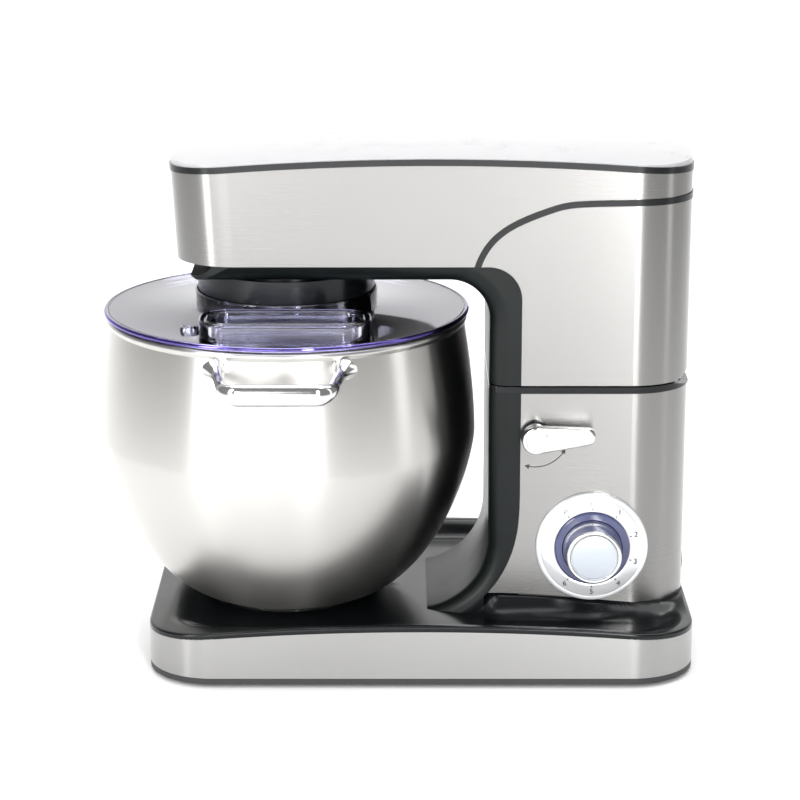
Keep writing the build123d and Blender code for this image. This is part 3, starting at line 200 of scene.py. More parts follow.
spun = brushed("spun_bowl_steel", 0.60, 0.30, (2, 2, 4200), anisotropy=0.85, tint=-0.022, contrast=0.005)
bright = polished("polished_handle_metal", 0.72, 0.09)
knob_metal = polished("polished_knob_metal", 0.74, 0.10)
cast = polished("cast_frame_metal", 0.55, 0.42)
hook_metal = polished("cast_hook_metal", 0.70, 0.28)
bronze_finish = Finish("sintered_bronze", Metallic=1.0)
specks = bronze_finish.noise(bronze_finish.place((900, 900, 900)), 1.0, 3.0)
bronze_finish.feed("Base Color", bronze_finish.blend(specks, (0.42, 0.26, 0.10, 1), (0.62, 0.42, 0.18, 1)))
bronze_finish.feed("Roughness", bronze_finish.ramp(specks, 0.2, 0.8, 0.35, 0.55))
bronze = bronze_finish.mat
print("polished finishes", spun.name, bright.name, knob_metal.name, cast.name, hook_metal.name, bronze.name)


# %% [markdown]
# ## Moulded plastics and rubber
# The black trims are glossy moulded plastic. Real mouldings are never a perfect mirror: they have a very
# low ripple from the tool, a fine haze of dust and a slightly brighter bloom. Inner mouldings have a spark-
# eroded grain, and rubber is the same idea with a higher roughness.

# %% Plastic finishes
def moulded(name, colour, rough, ripple=0.00001, grain_scale=1400.0, coat=0.0, spread=0.06, **extra):
    """Moulded plastic with tool ripple and a fine grain."""
    made = Finish(name, Coat_Weight=coat, Coat_Roughness=0.08, **extra)
    grain = made.noise(made.place((1, 1, 1)), grain_scale, 2.0)
    cloud = made.noise(made.place((1, 1, 1)), 22.0, 3.0)
    darker = tuple(c * 0.94 for c in colour[:3]) + (1.0,)
    made.feed("Base Color", made.blend(made.ramp(cloud, 0.3, 0.7), darker, colour))
    made.feed("Roughness", made.ramp(cloud, 0.3, 0.7, rough, rough + spread) + grain * 0.03)
    made.bump(grain + cloud * 2.0, ripple, 0.5)
    return made.mat


black_gloss = moulded("black_gloss_trim", (0.004, 0.005, 0.006, 1), 0.15, ripple=0.000003,
                      Specular_IOR_Level=0.32)
black_neck = moulded("black_neck_moulding", (0.004, 0.006, 0.006, 1), 0.28, ripple=0.000004,
                     Specular_IOR_Level=0.22)
black_satin = moulded("black_inner_moulding", (0.022, 0.022, 0.024, 1), 0.45, ripple=0.00003)
pale_cover = moulded("pale_top_cover", (0.42, 0.42, 0.43, 1), 0.26, ripple=0.000001, coat=0.15, spread=0.012)
dial_pale = moulded("dial_silver_white", (0.74, 0.75, 0.77, 1), 0.18, ripple=0.000002, coat=0.4,
                    Metallic=0.35)
rubber = moulded("black_rubber", (0.018, 0.018, 0.018, 1), 0.7, ripple=0.00006, grain_scale=2200)
gear_plastic = moulded("nylon_gear", (0.72, 0.69, 0.60, 1), 0.4)
laminate = brushed("motor_laminations", 0.32, 0.4, (20, 20, 2400), anisotropy=0.2)
board_green = moulded("circuit_board", (0.02, 0.16, 0.06, 1), 0.35)
print("plastics", black_gloss.name, black_neck.name, black_satin.name, pale_cover.name, dial_pale.name)


# %% [markdown]
# ## Clear plastic
# The lid and its chute are clear plastic. Looked at through its thick edge, the plastic shows its violet
# tint; looked at through the thin disc, it is nearly colourless. Glass made by refraction is noisy and
# slow, so most light passes straight through, and a mirror-like skin is mixed in by Fresnel's law. A mask
# from the distance to the bowl's axis brings in the tint at the rim.

# %% Clear lid and chute
bowl_low, bowl_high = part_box("bowl")
AXIS_X = (bowl_low[0] + bowl_high[0]) / 2
lid_low, lid_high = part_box("splash_lid")
LID_R = (lid_high[1] - lid_low[1]) / 2


def clear(name, tint, edge_tint, haze, mask_from):
    """Clear plastic: light passes straight through, and a mirror-like skin reflects by Fresnel's law."""
    made = Finish(name, Metallic=1.0, IOR=1.49)
    mask = mask_from(made)
    cloud = made.noise(made.place((1, 1, 1)), 30.0, 2.0)
    made.feed("Base Color", made.blend(mask, (0.95, 0.95, 1.0, 1), edge_tint))
    made.feed("Roughness", made.ramp(cloud, 0.3, 0.7, 0.03, 0.07))
    made.bump(cloud, 0.00002, 0.3)
    through = made.add("ShaderNodeBsdfTransparent", {}, {0: tint})
    shine = made.add("ShaderNodeFresnel", {}, {0: 1.49})
    share = shine * 1.15 + mask * 0.42 + haze
    skin = Sock(made, made.shader.outputs[0])
    mixed = made.add("ShaderNodeMixShader", {}, {0: share, 1: through, 2: skin})
    made.tree.links.new(mixed.out, made.tree.nodes["Material Output"].inputs[0])
    made.mat.surface_render_method = "DITHERED"
    return made.mat


def rim_mask(made):
    """1 at the lid's outer bead, 0 on the disc."""
    where = made.place((1, 1, 1), shift=(-AXIS_X, 0, 0))
    split = made.add("ShaderNodeSeparateXYZ", {}, {0: where})
    across = Sock(made, split.out.node.outputs[0])
    along = Sock(made, split.out.node.outputs[1])
    radius = made.add("ShaderNodeMath", {"operation": "SQRT"}, {0: across * across + along * along})
    return made.ramp(radius, LID_R - 0.0022, LID_R - 0.0008)


def facing_mask(made):
    """1 where the wall is seen edge on."""
    return made.ramp(made.add("ShaderNodeLayerWeight", {}, {0: 0.30}, pick=1), 0.45, 1.0)


clear_lid = clear("clear_lid_plastic", (0.90, 0.90, 0.95, 1), (0.22, 0.17, 0.62, 1), 0.04, rim_mask)
clear_chute = clear("clear_chute_plastic", (0.90, 0.90, 0.96, 1), (0.62, 0.60, 0.92, 1), 0.02, facing_mask)
print("clear", clear_lid.name, clear_chute.name, "lid radius", round(LID_R, 4))


# %% [markdown]
# ## The ring's painted glow
# Round the knob runs a frosted violet ring of moulded plastic. Its glow is painted: a faint emission of its
# own lifts the colour, and it lights nothing round it, not even the panel.

# %% Ring with a painted glow
def ring_painted_glow_plastic():
    """Frosted violet ring with a painted glow: a faint emission lifts its colour."""
    made = Finish("violet_ring_painted_glow", Roughness=0.22, Coat_Weight=0.3, Emission_Strength=0.03)
    cloud = made.noise(made.place((1, 1, 1)), 60.0, 2.0)
    made.feed("Base Color", made.blend(cloud, (0.035, 0.04, 0.085, 1), (0.08, 0.09, 0.19, 1)))
    # painted glow: this emission colour brightens the ring, which is no lamp
    made.feed("Emission Color", made.blend(cloud, (0.10, 0.12, 0.55, 1), (0.25, 0.25, 0.85, 1)))
    return made.mat


violet = ring_painted_glow_plastic()
print("ring", violet.name)

# %% [markdown]
# ## Which node gets which finish
# The CAD nodes keep their shape. Each one's material slots are filled with one of the finishes above, and a
# node that is forgotten would stop the script here.

# %% Dress the CAD nodes
DRESS = {
    steel_panel: ["head_side_panel", "neck_panel", "column_panel"],
    steel_band: ["base_band"],
    black_gloss: ["panel_trim", "top_trim", "column_rim", "base_deck", "lever_bush", "hub_housing"],
    black_neck: ["head_lower_cover", "neck_cover"],
    black_satin: ["base_plate", "column_housing", "head_housing", "speed_switch", "motor_fan"],
    pale_cover: ["top_cover"],
    dial_pale: ["dial_bezel"],
    violet: ["light_ring"],
    clear_lid: ["splash_lid"],
    clear_chute: ["feed_chute"],
    spun: ["bowl", "bowl_foot"],
    bright: ["bowl_handles", "release_lever"],
    knob_metal: ["speed_knob", "knob_face"],
    rubber: ["suction_feet", "cord_gland", "drive_belt"],
    cast: ["column_frame", "head_frame", "motor_cradle", "planet_hub"],
    hook_metal: ["dough_hook"],
    machined: ["bowl_seat", "base_screws", "column_bolts", "hinge_pin", "latch_spring", "latch_shaft",
               "idler_pin", "catch_bar", "frame_screws", "motor_shaft", "motor_pulley", "tool_shaft",
               "tool_pin", "knob_shaft"],
    ground: ["ring_gear", "output_gear", "pulley_shaft", "planet_gear"],
    gear_plastic: ["idler_gear", "drive_pulley"],
    laminate: ["motor_stator", "motor_rotor"],
    bronze: ["shaft_bearings"],
    board_green: ["control_board"],
}
dressed = 0
for finish, names in DRESS.items():
    for name in names:
        mesh = nodes[name].data
        mesh.materials.clear()
        mesh.materials.append(finish)
        dressed += 1
assert dressed == len(nodes), (dressed, len(nodes))
print("dressed", dressed)

# %% [markdown]
# ## Round pieces on a lathe
# The bowl is one spun sheet: it rises from a small flat floor, swells to a belly and draws in to a rolled
# rim. A lathe is the right tool: one outline of (radius, height), turned round the axis. The outline is
# worked out from a formula, a stretched quarter of a superellipse below the belly and a gentle curve above
# it. The grain of the finish follows the turning, which is what gives spun steel its soft upright bands of
# light.

# %% Lathe helper
def bridge(made, rings, wrap=False):
    """Faces between each ring of points and the next; wrap also joins the last to the first."""
    for lower, upper in zip(rings, rings[1:] + (rings[:1] if wrap else [])):
        for k in range(len(lower)):
            after = (k + 1) % len(lower)
            made.faces.new([lower[k], lower[after], upper[after], upper[k]])


def lathe(name, outline, centre, body, finish, segments=160, axis="Z", closed=True):
    """Turn an outline of (radius, height) about an axis through centre."""
    made = bmesh.new()
    rings = []
    for radius, height in outline:
        if radius < 1e-6:
            spot = made.verts.new((0, 0, height))
            rings.append([spot] * segments)
            continue
        turns = [2 * pi * k / segments for k in range(segments)]
        rings.append([made.verts.new((radius * cos(a), radius * sin(a), height)) for a in turns])
    for lower, upper in zip(rings, rings[1:] + (rings[:1] if closed else [])):
        for k in range(segments):
            corners = [lower[k], lower[(k + 1) % segments], upper[(k + 1) % segments], upper[k]]
            unique = list(dict.fromkeys(corners))
            if len(unique) > 2:
                made.faces.new(unique)
    bmesh.ops.recalc_face_normals(made, faces=made.faces)
    turn = Matrix.Rotation(radians(90), 4, "X") if axis == "-Y" else Matrix.Identity(4)
    bmesh.ops.transform(made, matrix=Matrix.Translation(centre) @ turn, verts=made.verts)
    return finish_mesh(made, name, body, finish)


def finish_mesh(made, name, body, finish, smooth_angle=35):
    """Turn a bmesh into a piece: smooth shading, finish, body and slot."""
    mesh = bpy.data.meshes.new(name)
    made.to_mesh(mesh)
    made.free()
    mesh.materials.append(finish)
    for polygon in mesh.polygons:
        polygon.use_smooth = True
    mesh.set_sharp_from_angle(angle=radians(smooth_angle))
    piece = bpy.data.objects.new(name, mesh)
    bpy.context.scene.collection.objects.link(piece)
    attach(piece, body)
    return piece


def arc(cx, cz, radius, start, end, steps):
    """Points on an arc, angles in degrees."""
    return [(cx + radius * cos(radians(start + (end - start) * k / steps)),
             cz + radius * sin(radians(start + (end - start) * k / steps))) for k in range(steps + 1)]


# %% [markdown]
# ## The bowl itself
# The outline goes up the outside, over the rolled rim and down the inside, one sheet's thickness in. Both
# sides come from one function, so the steel is equally thick everywhere.

# %% Spun bowl
BELLY_R = 145.0 * MM
BELLY_Z = 165.6 * MM
RIM_R = 136.0 * MM
FLOOR_R = 60.0 * MM
FLOOR_Z = bowl_low[2]
RIM_Z = bowl_high[2]
SHEET = 1.0 * MM
FINE = 224                 # facets round the widest turned pieces
BEAD = 2.2 * MM
ROUND_OUT = 1.84           # how square the curve from floor to belly is, across and up
ROUND_UP = 1.47
DRAW_IN = 1.6              # how late the wall draws in above the belly
LOW_STEPS = 48
HIGH_STEPS = 24


def bowl_wall(inset):
    """Outline of the bowl's wall from the floor to under the rim."""
    belly = BELLY_R - inset
    floor_r = FLOOR_R - inset * 0.5
    floor_z = FLOOR_Z + inset
    points = []
    for k in range(LOW_STEPS + 1):
        a = radians(90 - 90 * k / LOW_STEPS)
        out = max(0.0, cos(a)) ** (2 / ROUND_OUT)
        down = sin(a) ** (2 / ROUND_UP)
        points.append((floor_r + (belly - floor_r) * out, BELLY_Z - (BELLY_Z - floor_z) * down))
    rise = RIM_Z - BEAD - BELLY_Z
    for k in range(1, HIGH_STEPS + 1):
        t = k / HIGH_STEPS
        points.append((belly - (BELLY_R - RIM_R) * t ** DRAW_IN, BELLY_Z + rise * t))
    return points


outer = bowl_wall(0.0)
inner = bowl_wall(SHEET)
bead = arc(RIM_R + 0.2 * MM, RIM_Z - BEAD, BEAD, -35, 170, 14)
spun_outline = [(0.0, FLOOR_Z)] + outer[:-1] + bead + list(reversed(inner))[1:] + [(0.0, FLOOR_Z + SHEET)]
bowl_piece = lathe("spun_bowl", spun_outline, (AXIS_X, 0, 0), "mixing_bowl", spun, FINE,
                   closed=False)
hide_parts("bowl")
print("bowl rings", len(spun_outline), "belly", round(BELLY_R, 4))

# %% [markdown]
# ## Bowl handles
# Each handle is one polished casting: a thick grip that hangs a little, two arms that curve in to the bowl,
# and a pad flared out like a trumpet's mouth where each arm meets the wall. A round tube swept along a
# route gives it all, if the tube's radius may change along the way.

# %% Swept tube with a changing radius
def smooth_route(corners, radius, steps=10):
    """Round the corners of a route with arcs."""
    route = [Vector(corners[0])]
    for before, here, after in zip(corners, corners[1:], corners[2:]):
        here = Vector(here)
        back = (Vector(before) - here).normalized()
        on = (Vector(after) - here).normalized()
        half = back.angle(on) / 2
        reach = radius * cos(half) / sin(half)
        start = here + back * reach
        end = here + on * reach
        middle = here + (back + on).normalized() * (radius / sin(half))
        for k in range(steps + 1):
            t = k / steps
            point = start.lerp(end, t)
            route.append(middle + (point - middle).normalized() * radius)
    route.append(Vector(corners[-1]))
    return route


def resample(route, step):
    """Points at even steps along a route."""
    points = [route[0]]
    spare = 0.0
    for a, b in zip(route, route[1:]):
        length = (b - a).length
        while spare + length >= step:
            t = (step - spare) / length
            a = a.lerp(b, t)
            length = (b - a).length
            points.append(a.copy())
            spare = 0.0
        spare += length
    if (points[-1] - route[-1]).length > step * 0.3:
        points.append(route[-1])
    return points


def tube_rings(made, route, size_at, up, sides=28):
    """Rings of points round a route; size_at(share) gives half width and half height."""
    rings = []
    total = len(route) - 1
    for k, point in enumerate(route):
        ahead = (route[min(k + 1, total)] - route[max(k - 1, 0)]).normalized()
        side = ahead.cross(up).normalized()
        lift = side.cross(ahead).normalized()
        wide, high = size_at(k / total)
        turns = [2 * pi * j / sides for j in range(sides)]
        rings.append([made.verts.new(point + side * wide * cos(a) + lift * high * sin(a)) for a in turns])
    bridge(made, rings)
    made.faces.new(list(reversed(rings[0])))
    made.faces.new(rings[-1])


# %% [markdown]
# ## Two handles from one recipe
# The near and the far handle differ only in the sign of Y. Where a flared end would come through the thin
# sheet, its points are pushed out onto the bowl's skin, so nothing shows inside the bowl.

# %% Handles
handle_low, handle_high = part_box("bowl_handles")
HANDLE_HALF = 46.5 * MM
GRIP_HALF = 37.5 * MM
HANDLE_TOP = 245.0 * MM
WALL_R = 138.0 * MM
GRIP_OUT = handle_high[1] - 5.0 * MM
GRIP_Z = handle_low[2] + 7.4 * MM


def handle_size(share):
    """Half sizes along the handle: flared at the wall, thickest in the grip."""
    from_end = min(share, 1 - share) * 2
    flare = max(0.0, 1 - from_end / 0.22) ** 2.2
    grip = max(0.0, min(1.0, (from_end - 0.36) / 0.25))
    core = (4.4 + 1.0 * grip * grip * (3 - 2 * grip)) * MM
    return core + 5.6 * MM * flare, core * (1 + 0.50 * grip) + 3.6 * MM * flare


def seat_on_wall(made):
    """Push any point that is inside the bowl's outer skin out onto it, so that a pad sits on the sheet."""
    for vert in made.verts:
        up = min(1.0, max(0.0, (vert.co.z - BELLY_Z) / (RIM_Z - BEAD - BELLY_Z)))
        skin = BELLY_R - (BELLY_R - RIM_R) * up ** DRAW_IN + 0.05 * MM
        reach = hypot(vert.co.x - AXIS_X, vert.co.y)
        if reach < skin:
            vert.co.x = AXIS_X + (vert.co.x - AXIS_X) * skin / reach
            vert.co.y *= skin / reach


for side, label in ((-1, "near"), (1, "far")):
    foot_y = sqrt(WALL_R ** 2 - HANDLE_HALF ** 2)
    corners = [(AXIS_X + x, side * y, z) for x, y, z in (
        (-HANDLE_HALF, foot_y - 1.0 * MM, HANDLE_TOP), (-GRIP_HALF, GRIP_OUT, GRIP_Z),
        (GRIP_HALF, GRIP_OUT, GRIP_Z), (HANDLE_HALF, foot_y - 1.0 * MM, HANDLE_TOP))]
    made = bmesh.new()
    tube_rings(made, resample(smooth_route(corners, 14 * MM), 1.5 * MM), handle_size, Vector((0, 0, 1)))
    seat_on_wall(made)
    bmesh.ops.recalc_face_normals(made, faces=made.faces)
    handle = finish_mesh(made, "handle_" + label, "mixing_bowl", bright, 60)
    if label == "near":
        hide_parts("bowl_handles")
print("grip at", round(GRIP_OUT, 4), round(GRIP_Z, 4))

# %% [markdown]
# ## Release lever
# A polished lever on a round boss. The boss has a shallow ring turned in its face, and the arm tapers to a
# round tip. Its outline is two circles and the lines that touch both; the edges are softened by stacking a
# few copies of the outline, each a little smaller, as a mould maker would round a pattern.

# %% Lever
lever_low, lever_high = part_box("release_lever")
BOSS_R = 10.4 * MM
TIP_R = 6.2 * MM
PIVOT_X = lever_low[0] + BOSS_R
PIVOT_Z = 178.8 * MM
LEVER_RISE = radians(4)
LEVER_FACE = lever_low[1]


def lever_outline(shrink, steps=20):
    """Two circles and their tangents, drawn in by shrink."""
    big = BOSS_R - shrink
    small = TIP_R - shrink
    reach = lever_high[0] - PIVOT_X - TIP_R
    spread = acos((big - small) / reach)
    tip = (PIVOT_X + reach * cos(LEVER_RISE), PIVOT_Z + reach * sin(LEVER_RISE))
    points = []
    for k in range(steps + 1):
        a = LEVER_RISE + spread + (2 * pi - 2 * spread) * k / steps
        points.append((PIVOT_X + big * cos(a), PIVOT_Z + big * sin(a)))
    for k in range(steps + 1):
        a = LEVER_RISE - spread + 2 * spread * k / steps
        points.append((tip[0] + small * cos(a), tip[1] + small * sin(a)))
    return points


made = bmesh.new()
stack = [(10.0, 1.2), (9.4, 0.3), (8.6, 0.0), (2.2, 0.0), (1.2, 0.35), (0.6, 0.9), (0.35, 1.8)]
rings = [[made.verts.new((x, LEVER_FACE + depth * MM, z)) for x, z in lever_outline(shrink * MM)]
         for depth, shrink in stack]
bridge(made, rings)
made.faces.new(rings[0])
made.faces.new(list(reversed(rings[-1])))
bmesh.ops.recalc_face_normals(made, faces=made.faces)
lever_piece = finish_mesh(made, "lever_arm", "lever", bright, 50)
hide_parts("release_lever")
out = -lever_low[1] - FLANK
boss_outline = [(0.0, 2.8 * MM), (BOSS_R - 0.3 * MM, 2.8 * MM), (BOSS_R - 0.1 * MM, 3.4 * MM),
                (BOSS_R - 0.1 * MM, out - 1.4 * MM), (BOSS_R - 0.6 * MM, out - 0.5 * MM),
                (BOSS_R - 1.5 * MM, out - 0.1 * MM), (BOSS_R - 2.6 * MM, out),
                (BOSS_R - 2.9 * MM, out - 0.45 * MM), (BOSS_R - 3.2 * MM, out), (0.0, out)]
lathe("lever_boss", boss_outline, (PIVOT_X, -FLANK, PIVOT_Z), "lever", bright, 96, "-Y",
      closed=False)
print("lever pivot", round(PIVOT_X, 4), "face", round(LEVER_FACE, 4))

# %% [markdown]
# ## Printed marks
# The arc under the lever and the numbers round the dial are printed in dark ink. Ink has almost no
# thickness, so each mark is a flat shape that stands a little off the panel, where it can't flicker against
# it.

# %% Ink and the lever's arc
def ink_finish():
    """Dark grey printing ink."""
    made = Finish("printed_ink", Roughness=0.55)
    spots = made.noise(made.place((1, 1, 1)), 1500.0, 2.0)
    made.feed("Base Color", made.blend(spots, (0.012, 0.012, 0.014, 1), (0.03, 0.03, 0.034, 1)))
    return made.mat


ink = ink_finish()
FLANK_Y = -FLANK - 0.15 * MM
MARK_R = 25.5 * MM
LINE_HALF = 0.35 * MM


def flat_mark(made, outline, y):
    """One flat polygon in a plane that lies along the near flank."""
    made.faces.new([made.verts.new((x, y, z)) for x, z in outline])


def face_out(made):
    """Turn every face that looks into the machine so that it looks out of the near flank."""
    for face in made.faces:
        if face.normal.y > 0:
            face.normal_flip()


made = bmesh.new()
band = [(PIVOT_X + r * cos(radians(a)), PIVOT_Z + r * sin(radians(a)))
        for r, angles in ((MARK_R + LINE_HALF, range(-100, -33, 3)),
                          (MARK_R - LINE_HALF, range(-34, -101, -3)))
        for a in angles]
flat_mark(made, band, FLANK_Y)
for angle, way in ((-103, -1), (-31, 1)):
    x = PIVOT_X + MARK_R * cos(radians(angle))
    z = PIVOT_Z + MARK_R * sin(radians(angle))
    along = Vector((-sin(radians(angle)), cos(radians(angle)))) * way
    across = Vector((along.y, -along.x))
    tip = Vector((x, z)) + along * 2.2 * MM
    wings = [Vector((x, z)) - along * 1.6 * MM + across * k * 1.9 * MM for k in (1, -1)]
    flat_mark(made, [tuple(tip), tuple(wings[0]), tuple(wings[1])], FLANK_Y)
face_out(made)
finish_mesh(made, "lever_arc_mark", "base", ink)
print("arc mark radius", MARK_R)

# %% [markdown]
# ## Speed dial
# A wide silver ring with numbers, a dark violet ring let into it, and a knob with a turned face. All are
# turned about one axis that points out of the flank, so the lathe serves again, laid on its side.

# %% Dial ring, knob and numbers
ring_low, ring_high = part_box("dial_bezel")
KNOB_X = (ring_low[0] + ring_high[0]) / 2
KNOB_Z = (ring_low[2] + ring_high[2]) / 2
BEZEL_R = (ring_high[0] - ring_low[0]) / 2
KNOB_FACE = -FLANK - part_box("speed_knob")[0][1]


def on_dial(name, outline, body, finish, closed=True):
    """Lathe a piece about the dial's axis; outline in millimetres out from the flank."""
    return lathe(name, [(r * MM, h * MM) for r, h in outline], (KNOB_X, -FLANK, KNOB_Z), body, finish,
                 144, "-Y", closed)


R = BEZEL_R / MM
ring_outline = [(11.0, 0.12), (R - 0.6, 0.12), (R, 0.8), (R, 2.4)] + arc(R - 2.2, 2.6, 2.2, 0, 78, 8)
ring_outline += [(R - 3.4, 4.5), (R - 3.9, 4.9), (R - 5.0, 5.6), (31.0, 6.5), (29.6, 6.6), (28.7, 6.3)]
ring_outline += [(28.6, 5.0), (28.6, 3.0), (11.0, 3.0)]
bezel = on_dial("dial_ring", ring_outline, "base", dial_pale)
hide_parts("dial_bezel")
F = KNOB_FACE / MM
skirt = [(22.6, 4.4), (22.9, 5.2), (22.4, 9.5), (21.4, 12.5), (20.6, 14.6), (20.3, 17.0), (20.5, F - 2.6)]
skirt += arc(19.3, F - 1.3, 1.3, 0, 90, 6)
skirt += [(18.3, F - 0.1), (17.9, F - 0.7), (17.4, F - 1.2), (0.0, F - 1.2)]
knob = on_dial("knob_skirt", skirt, "knob", knob_metal, closed=False)
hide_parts("speed_knob")


def knob_face_finish():
    """Knob's face: turned metal, its fine rings catching light in two fans."""
    made = Finish("turned_knob_face", Metallic=1.0, Anisotropic=0.7)
    fine = made.noise(made.place((1500, 60, 1500)), 1.0, 2.0)
    made.feed("Base Color", made.blend(fine, (0.50, 0.54, 0.60, 1), (0.58, 0.62, 0.68, 1)))
    made.feed("Roughness", made.ramp(fine, 0.3, 0.7, 0.22, 0.32))
    return made.mat


cap = [(0.0, F - 0.15), (15.8, F - 0.15), (16.6, F - 0.35), (17.0, F - 1.0), (0.0, F - 1.0)]
face = on_dial("knob_cap", cap, "knob", knob_face_finish(), closed=False)
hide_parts("knob_face")

made = bmesh.new()
DIGIT_R = 34.8 * MM
DIGIT_OUT = 6.45 * MM
TICK_R = 30.6 * MM
TICK_OUT = 6.66 * MM
TICK_HALF = 0.42 * MM
DIAL_STEP = 36             # degrees between marks
for k in range(8):
    angle = radians(90 - DIAL_STEP * (k - 1))
    side = Vector((-sin(angle), cos(angle))) * TICK_HALF
    inner, outer = (Vector((KNOB_X + r * cos(angle), KNOB_Z + r * sin(angle)))
                    for r in (TICK_R - 0.7 * MM, TICK_R + 0.9 * MM))
    flat_mark(made, [tuple(inner + side), tuple(inner - side), tuple(outer - side), tuple(outer + side)],
              -FLANK - TICK_OUT)
face_out(made)
finish_mesh(made, "dial_ticks", "base", ink)
for k, word in enumerate(("P", "0", "1", "2", "3", "4", "5", "6")):
    angle = radians(90 - DIAL_STEP * (k - 1))
    words = bpy.data.curves.new("dial_mark_" + word, "FONT")
    words.body = word
    words.size = 6.0 * MM
    words.align_x = "CENTER"
    words.align_y = "CENTER"
    words.materials.append(ink)
    mark = bpy.data.objects.new("dial_mark_" + word, words)
    bpy.context.scene.collection.objects.link(mark)
    mark.location = (KNOB_X + DIGIT_R * cos(angle), -FLANK - DIGIT_OUT, KNOB_Z + DIGIT_R * sin(angle))
    mark.rotation_euler = (radians(90), 0, 0)
    bpy.context.view_layer.update()
    as_mesh = bpy.data.meshes.new_from_object(mark.evaluated_get(bpy.context.evaluated_depsgraph_get()))
    as_mesh.transform(mark.matrix_world)
    bpy.data.objects.remove(mark)
    flat = bpy.data.objects.new("dial_mark_" + word, as_mesh)
    bpy.context.scene.collection.objects.link(flat)
    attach(flat, "base")
print("dial at", round(KNOB_X, 4), round(KNOB_Z, 4), "radius", round(BEZEL_R, 4))

# %% [markdown]
# ## The base's dished top
# One glossy black moulding covers the base: a rounded lip all round, a dish that falls to a flat floor, a
# round well for the bowl's foot, and a soft flare that climbs the foot of the column. It is a height over
# every spot, so it is built as rings that follow the base's outline and shrink inwards, each point raised
# to its height.

# %% Deck
deck_low, deck_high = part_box("base_deck")
HALF_L = (deck_high[0] - deck_low[0]) / 2
HALF_W = (deck_high[1] - deck_low[1]) / 2
MID_X = (deck_high[0] + deck_low[0]) / 2
CORNER = 50 * MM
FLOOR = 36.5 * MM
ARCH_R = 2086.0 * MM
ARCH_TOP = 48.6 * MM
col_low, col_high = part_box("column_panel")
WELL = 64.0 * MM
WELL_WALL = 2 * MM         # the well's wall stands this far outside it
WELL_FALL = 3 * MM
WELL_FLOOR = 28 * MM
WIDER_FROM = 0.10          # the lip widens towards the front, from here, over this length
WIDER_OVER = 0.06
LIP_WIDE = 5 * MM
LIP_MORE = 9 * MM
FALL_WIDE = 17 * MM
FALL_MORE = 4 * MM
FLARE = 22 * MM            # the flare at the column's foot: its reach, curve and height, and its drop behind
FLARE_NEAR = 40 * MM
FLARE_CURVE = 2.6
FLARE_TOP = 51.5 * MM
FLARE_DROP = 6.5 * MM
FLARE_OVER = 0.15


def base_ring(inset, count=320):
    """Points round the base's outline, drawn in by inset."""
    corner = max(CORNER - inset * 0.8, 12 * MM)
    a = HALF_L - inset
    b = HALF_W - inset
    corner = min(corner, b, a)
    straight_x = a - corner
    straight_y = b - corner
    lengths = [2 * straight_y, corner * pi / 2, 2 * straight_x, corner * pi / 2] * 2
    total = sum(lengths)
    points = []
    for k in range(count):
        s = total * k / count
        leg = 0
        while s > lengths[leg]:
            s -= lengths[leg]
            leg += 1
        quarter = leg // 2
        turn = pi / 2 * quarter
        if quarter % 2 == 0:
            half_run, out_side = straight_y, straight_x
        else:
            half_run, out_side = straight_x, straight_y
        if leg % 2 == 0:
            local = (out_side + corner, -half_run + s)
        else:
            a2 = s / corner if corner > 0 else 0
            local = (out_side + corner * cos(a2), half_run + corner * sin(a2))
        x = local[0] * cos(turn) - local[1] * sin(turn)
        y = local[0] * sin(turn) + local[1] * cos(turn)
        points.append((MID_X + x, y))
    return points


def ease(t):
    """Smooth step."""
    t = min(1.0, max(0.0, t))
    return t * t * (3 - 2 * t)


def lip_height(x):
    """Height of the black lip at the edge: an arch along the base."""
    return ARCH_TOP + sqrt(ARCH_R ** 2 - (x - MID_X) ** 2) - ARCH_R


def column_gap(x, y):
    """Distance from a spot to the column's outline."""
    x0 = col_low[0] - 3 * MM
    corner = 30 * MM if x > (x0 + col_high[0]) / 2 else 16 * MM
    cx = min(max(x, x0 + corner), col_high[0] - corner)
    cy = min(max(y, -FLANK + corner), FLANK - corner)
    return hypot(x - cx, y - cy) - corner


def deck_height(x, y, inset):
    """Height of the deck's skin over one spot."""
    lip = lip_height(x)
    front = ease((MID_X - x - WIDER_FROM) / WIDER_OVER)
    fall = ease((inset - LIP_WIDE - LIP_MORE * front) / (FALL_WIDE + FALL_MORE * front))
    height = lip + (FLOOR - lip) * fall
    gap = column_gap(x, y)
    if x > col_low[0] - FLARE_NEAR:
        climb = max(0.0, 1 - max(gap, 0) / FLARE) ** FLARE_CURVE
        foot_top = FLARE_TOP - FLARE_DROP * ease((x - col_low[0]) / FLARE_OVER)
        height += (foot_top - height) * climb
    from_bowl = hypot(x - AXIS_X, y)
    if from_bowl < WELL + WELL_WALL:
        height += (WELL_FLOOR - height) * ease((WELL + WELL_WALL - from_bowl) / WELL_FALL)
    return height


made = bmesh.new()
edge = []
insets = [1.0, 0.35, 0.0, 0.0, 0.12, 0.5, 1.1, 2.0]
drops = [-15.0, -4.6, -4.3, -1.6, -0.9, -0.35, -0.08, 0.0]
for inset, drop in zip(insets, drops):
    edge.append([made.verts.new((x, y, lip_height(x) + drop * MM)) for x, y in base_ring(inset * MM)])
inset = 3.5
while inset < HALF_W / MM - 1.5:
    edge.append([made.verts.new((x, y, deck_height(x, y, inset * MM))) for x, y in base_ring(inset * MM)])
    inset += 1.5 if inset < 100 else 2.2
bridge(made, edge)
made.faces.new(edge[-1])
bmesh.ops.recalc_face_normals(made, faces=made.faces)
deck = finish_mesh(made, "dished_deck", "base", black_gloss, 50)
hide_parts("base_deck")
print("deck rings", len(edge), "lip", round(lip_height(MID_X), 4))

# %% [markdown]
# ## Splash lid
# The lid is one clear moulding: a flat disc with a rounded bead at its edge, a collar that stands round the
# hub housing with a bead on top, and a hole under the chute. The disc and beads are turned on the lathe,
# and the hole is cut with a Boolean, which leaves a clean edge.

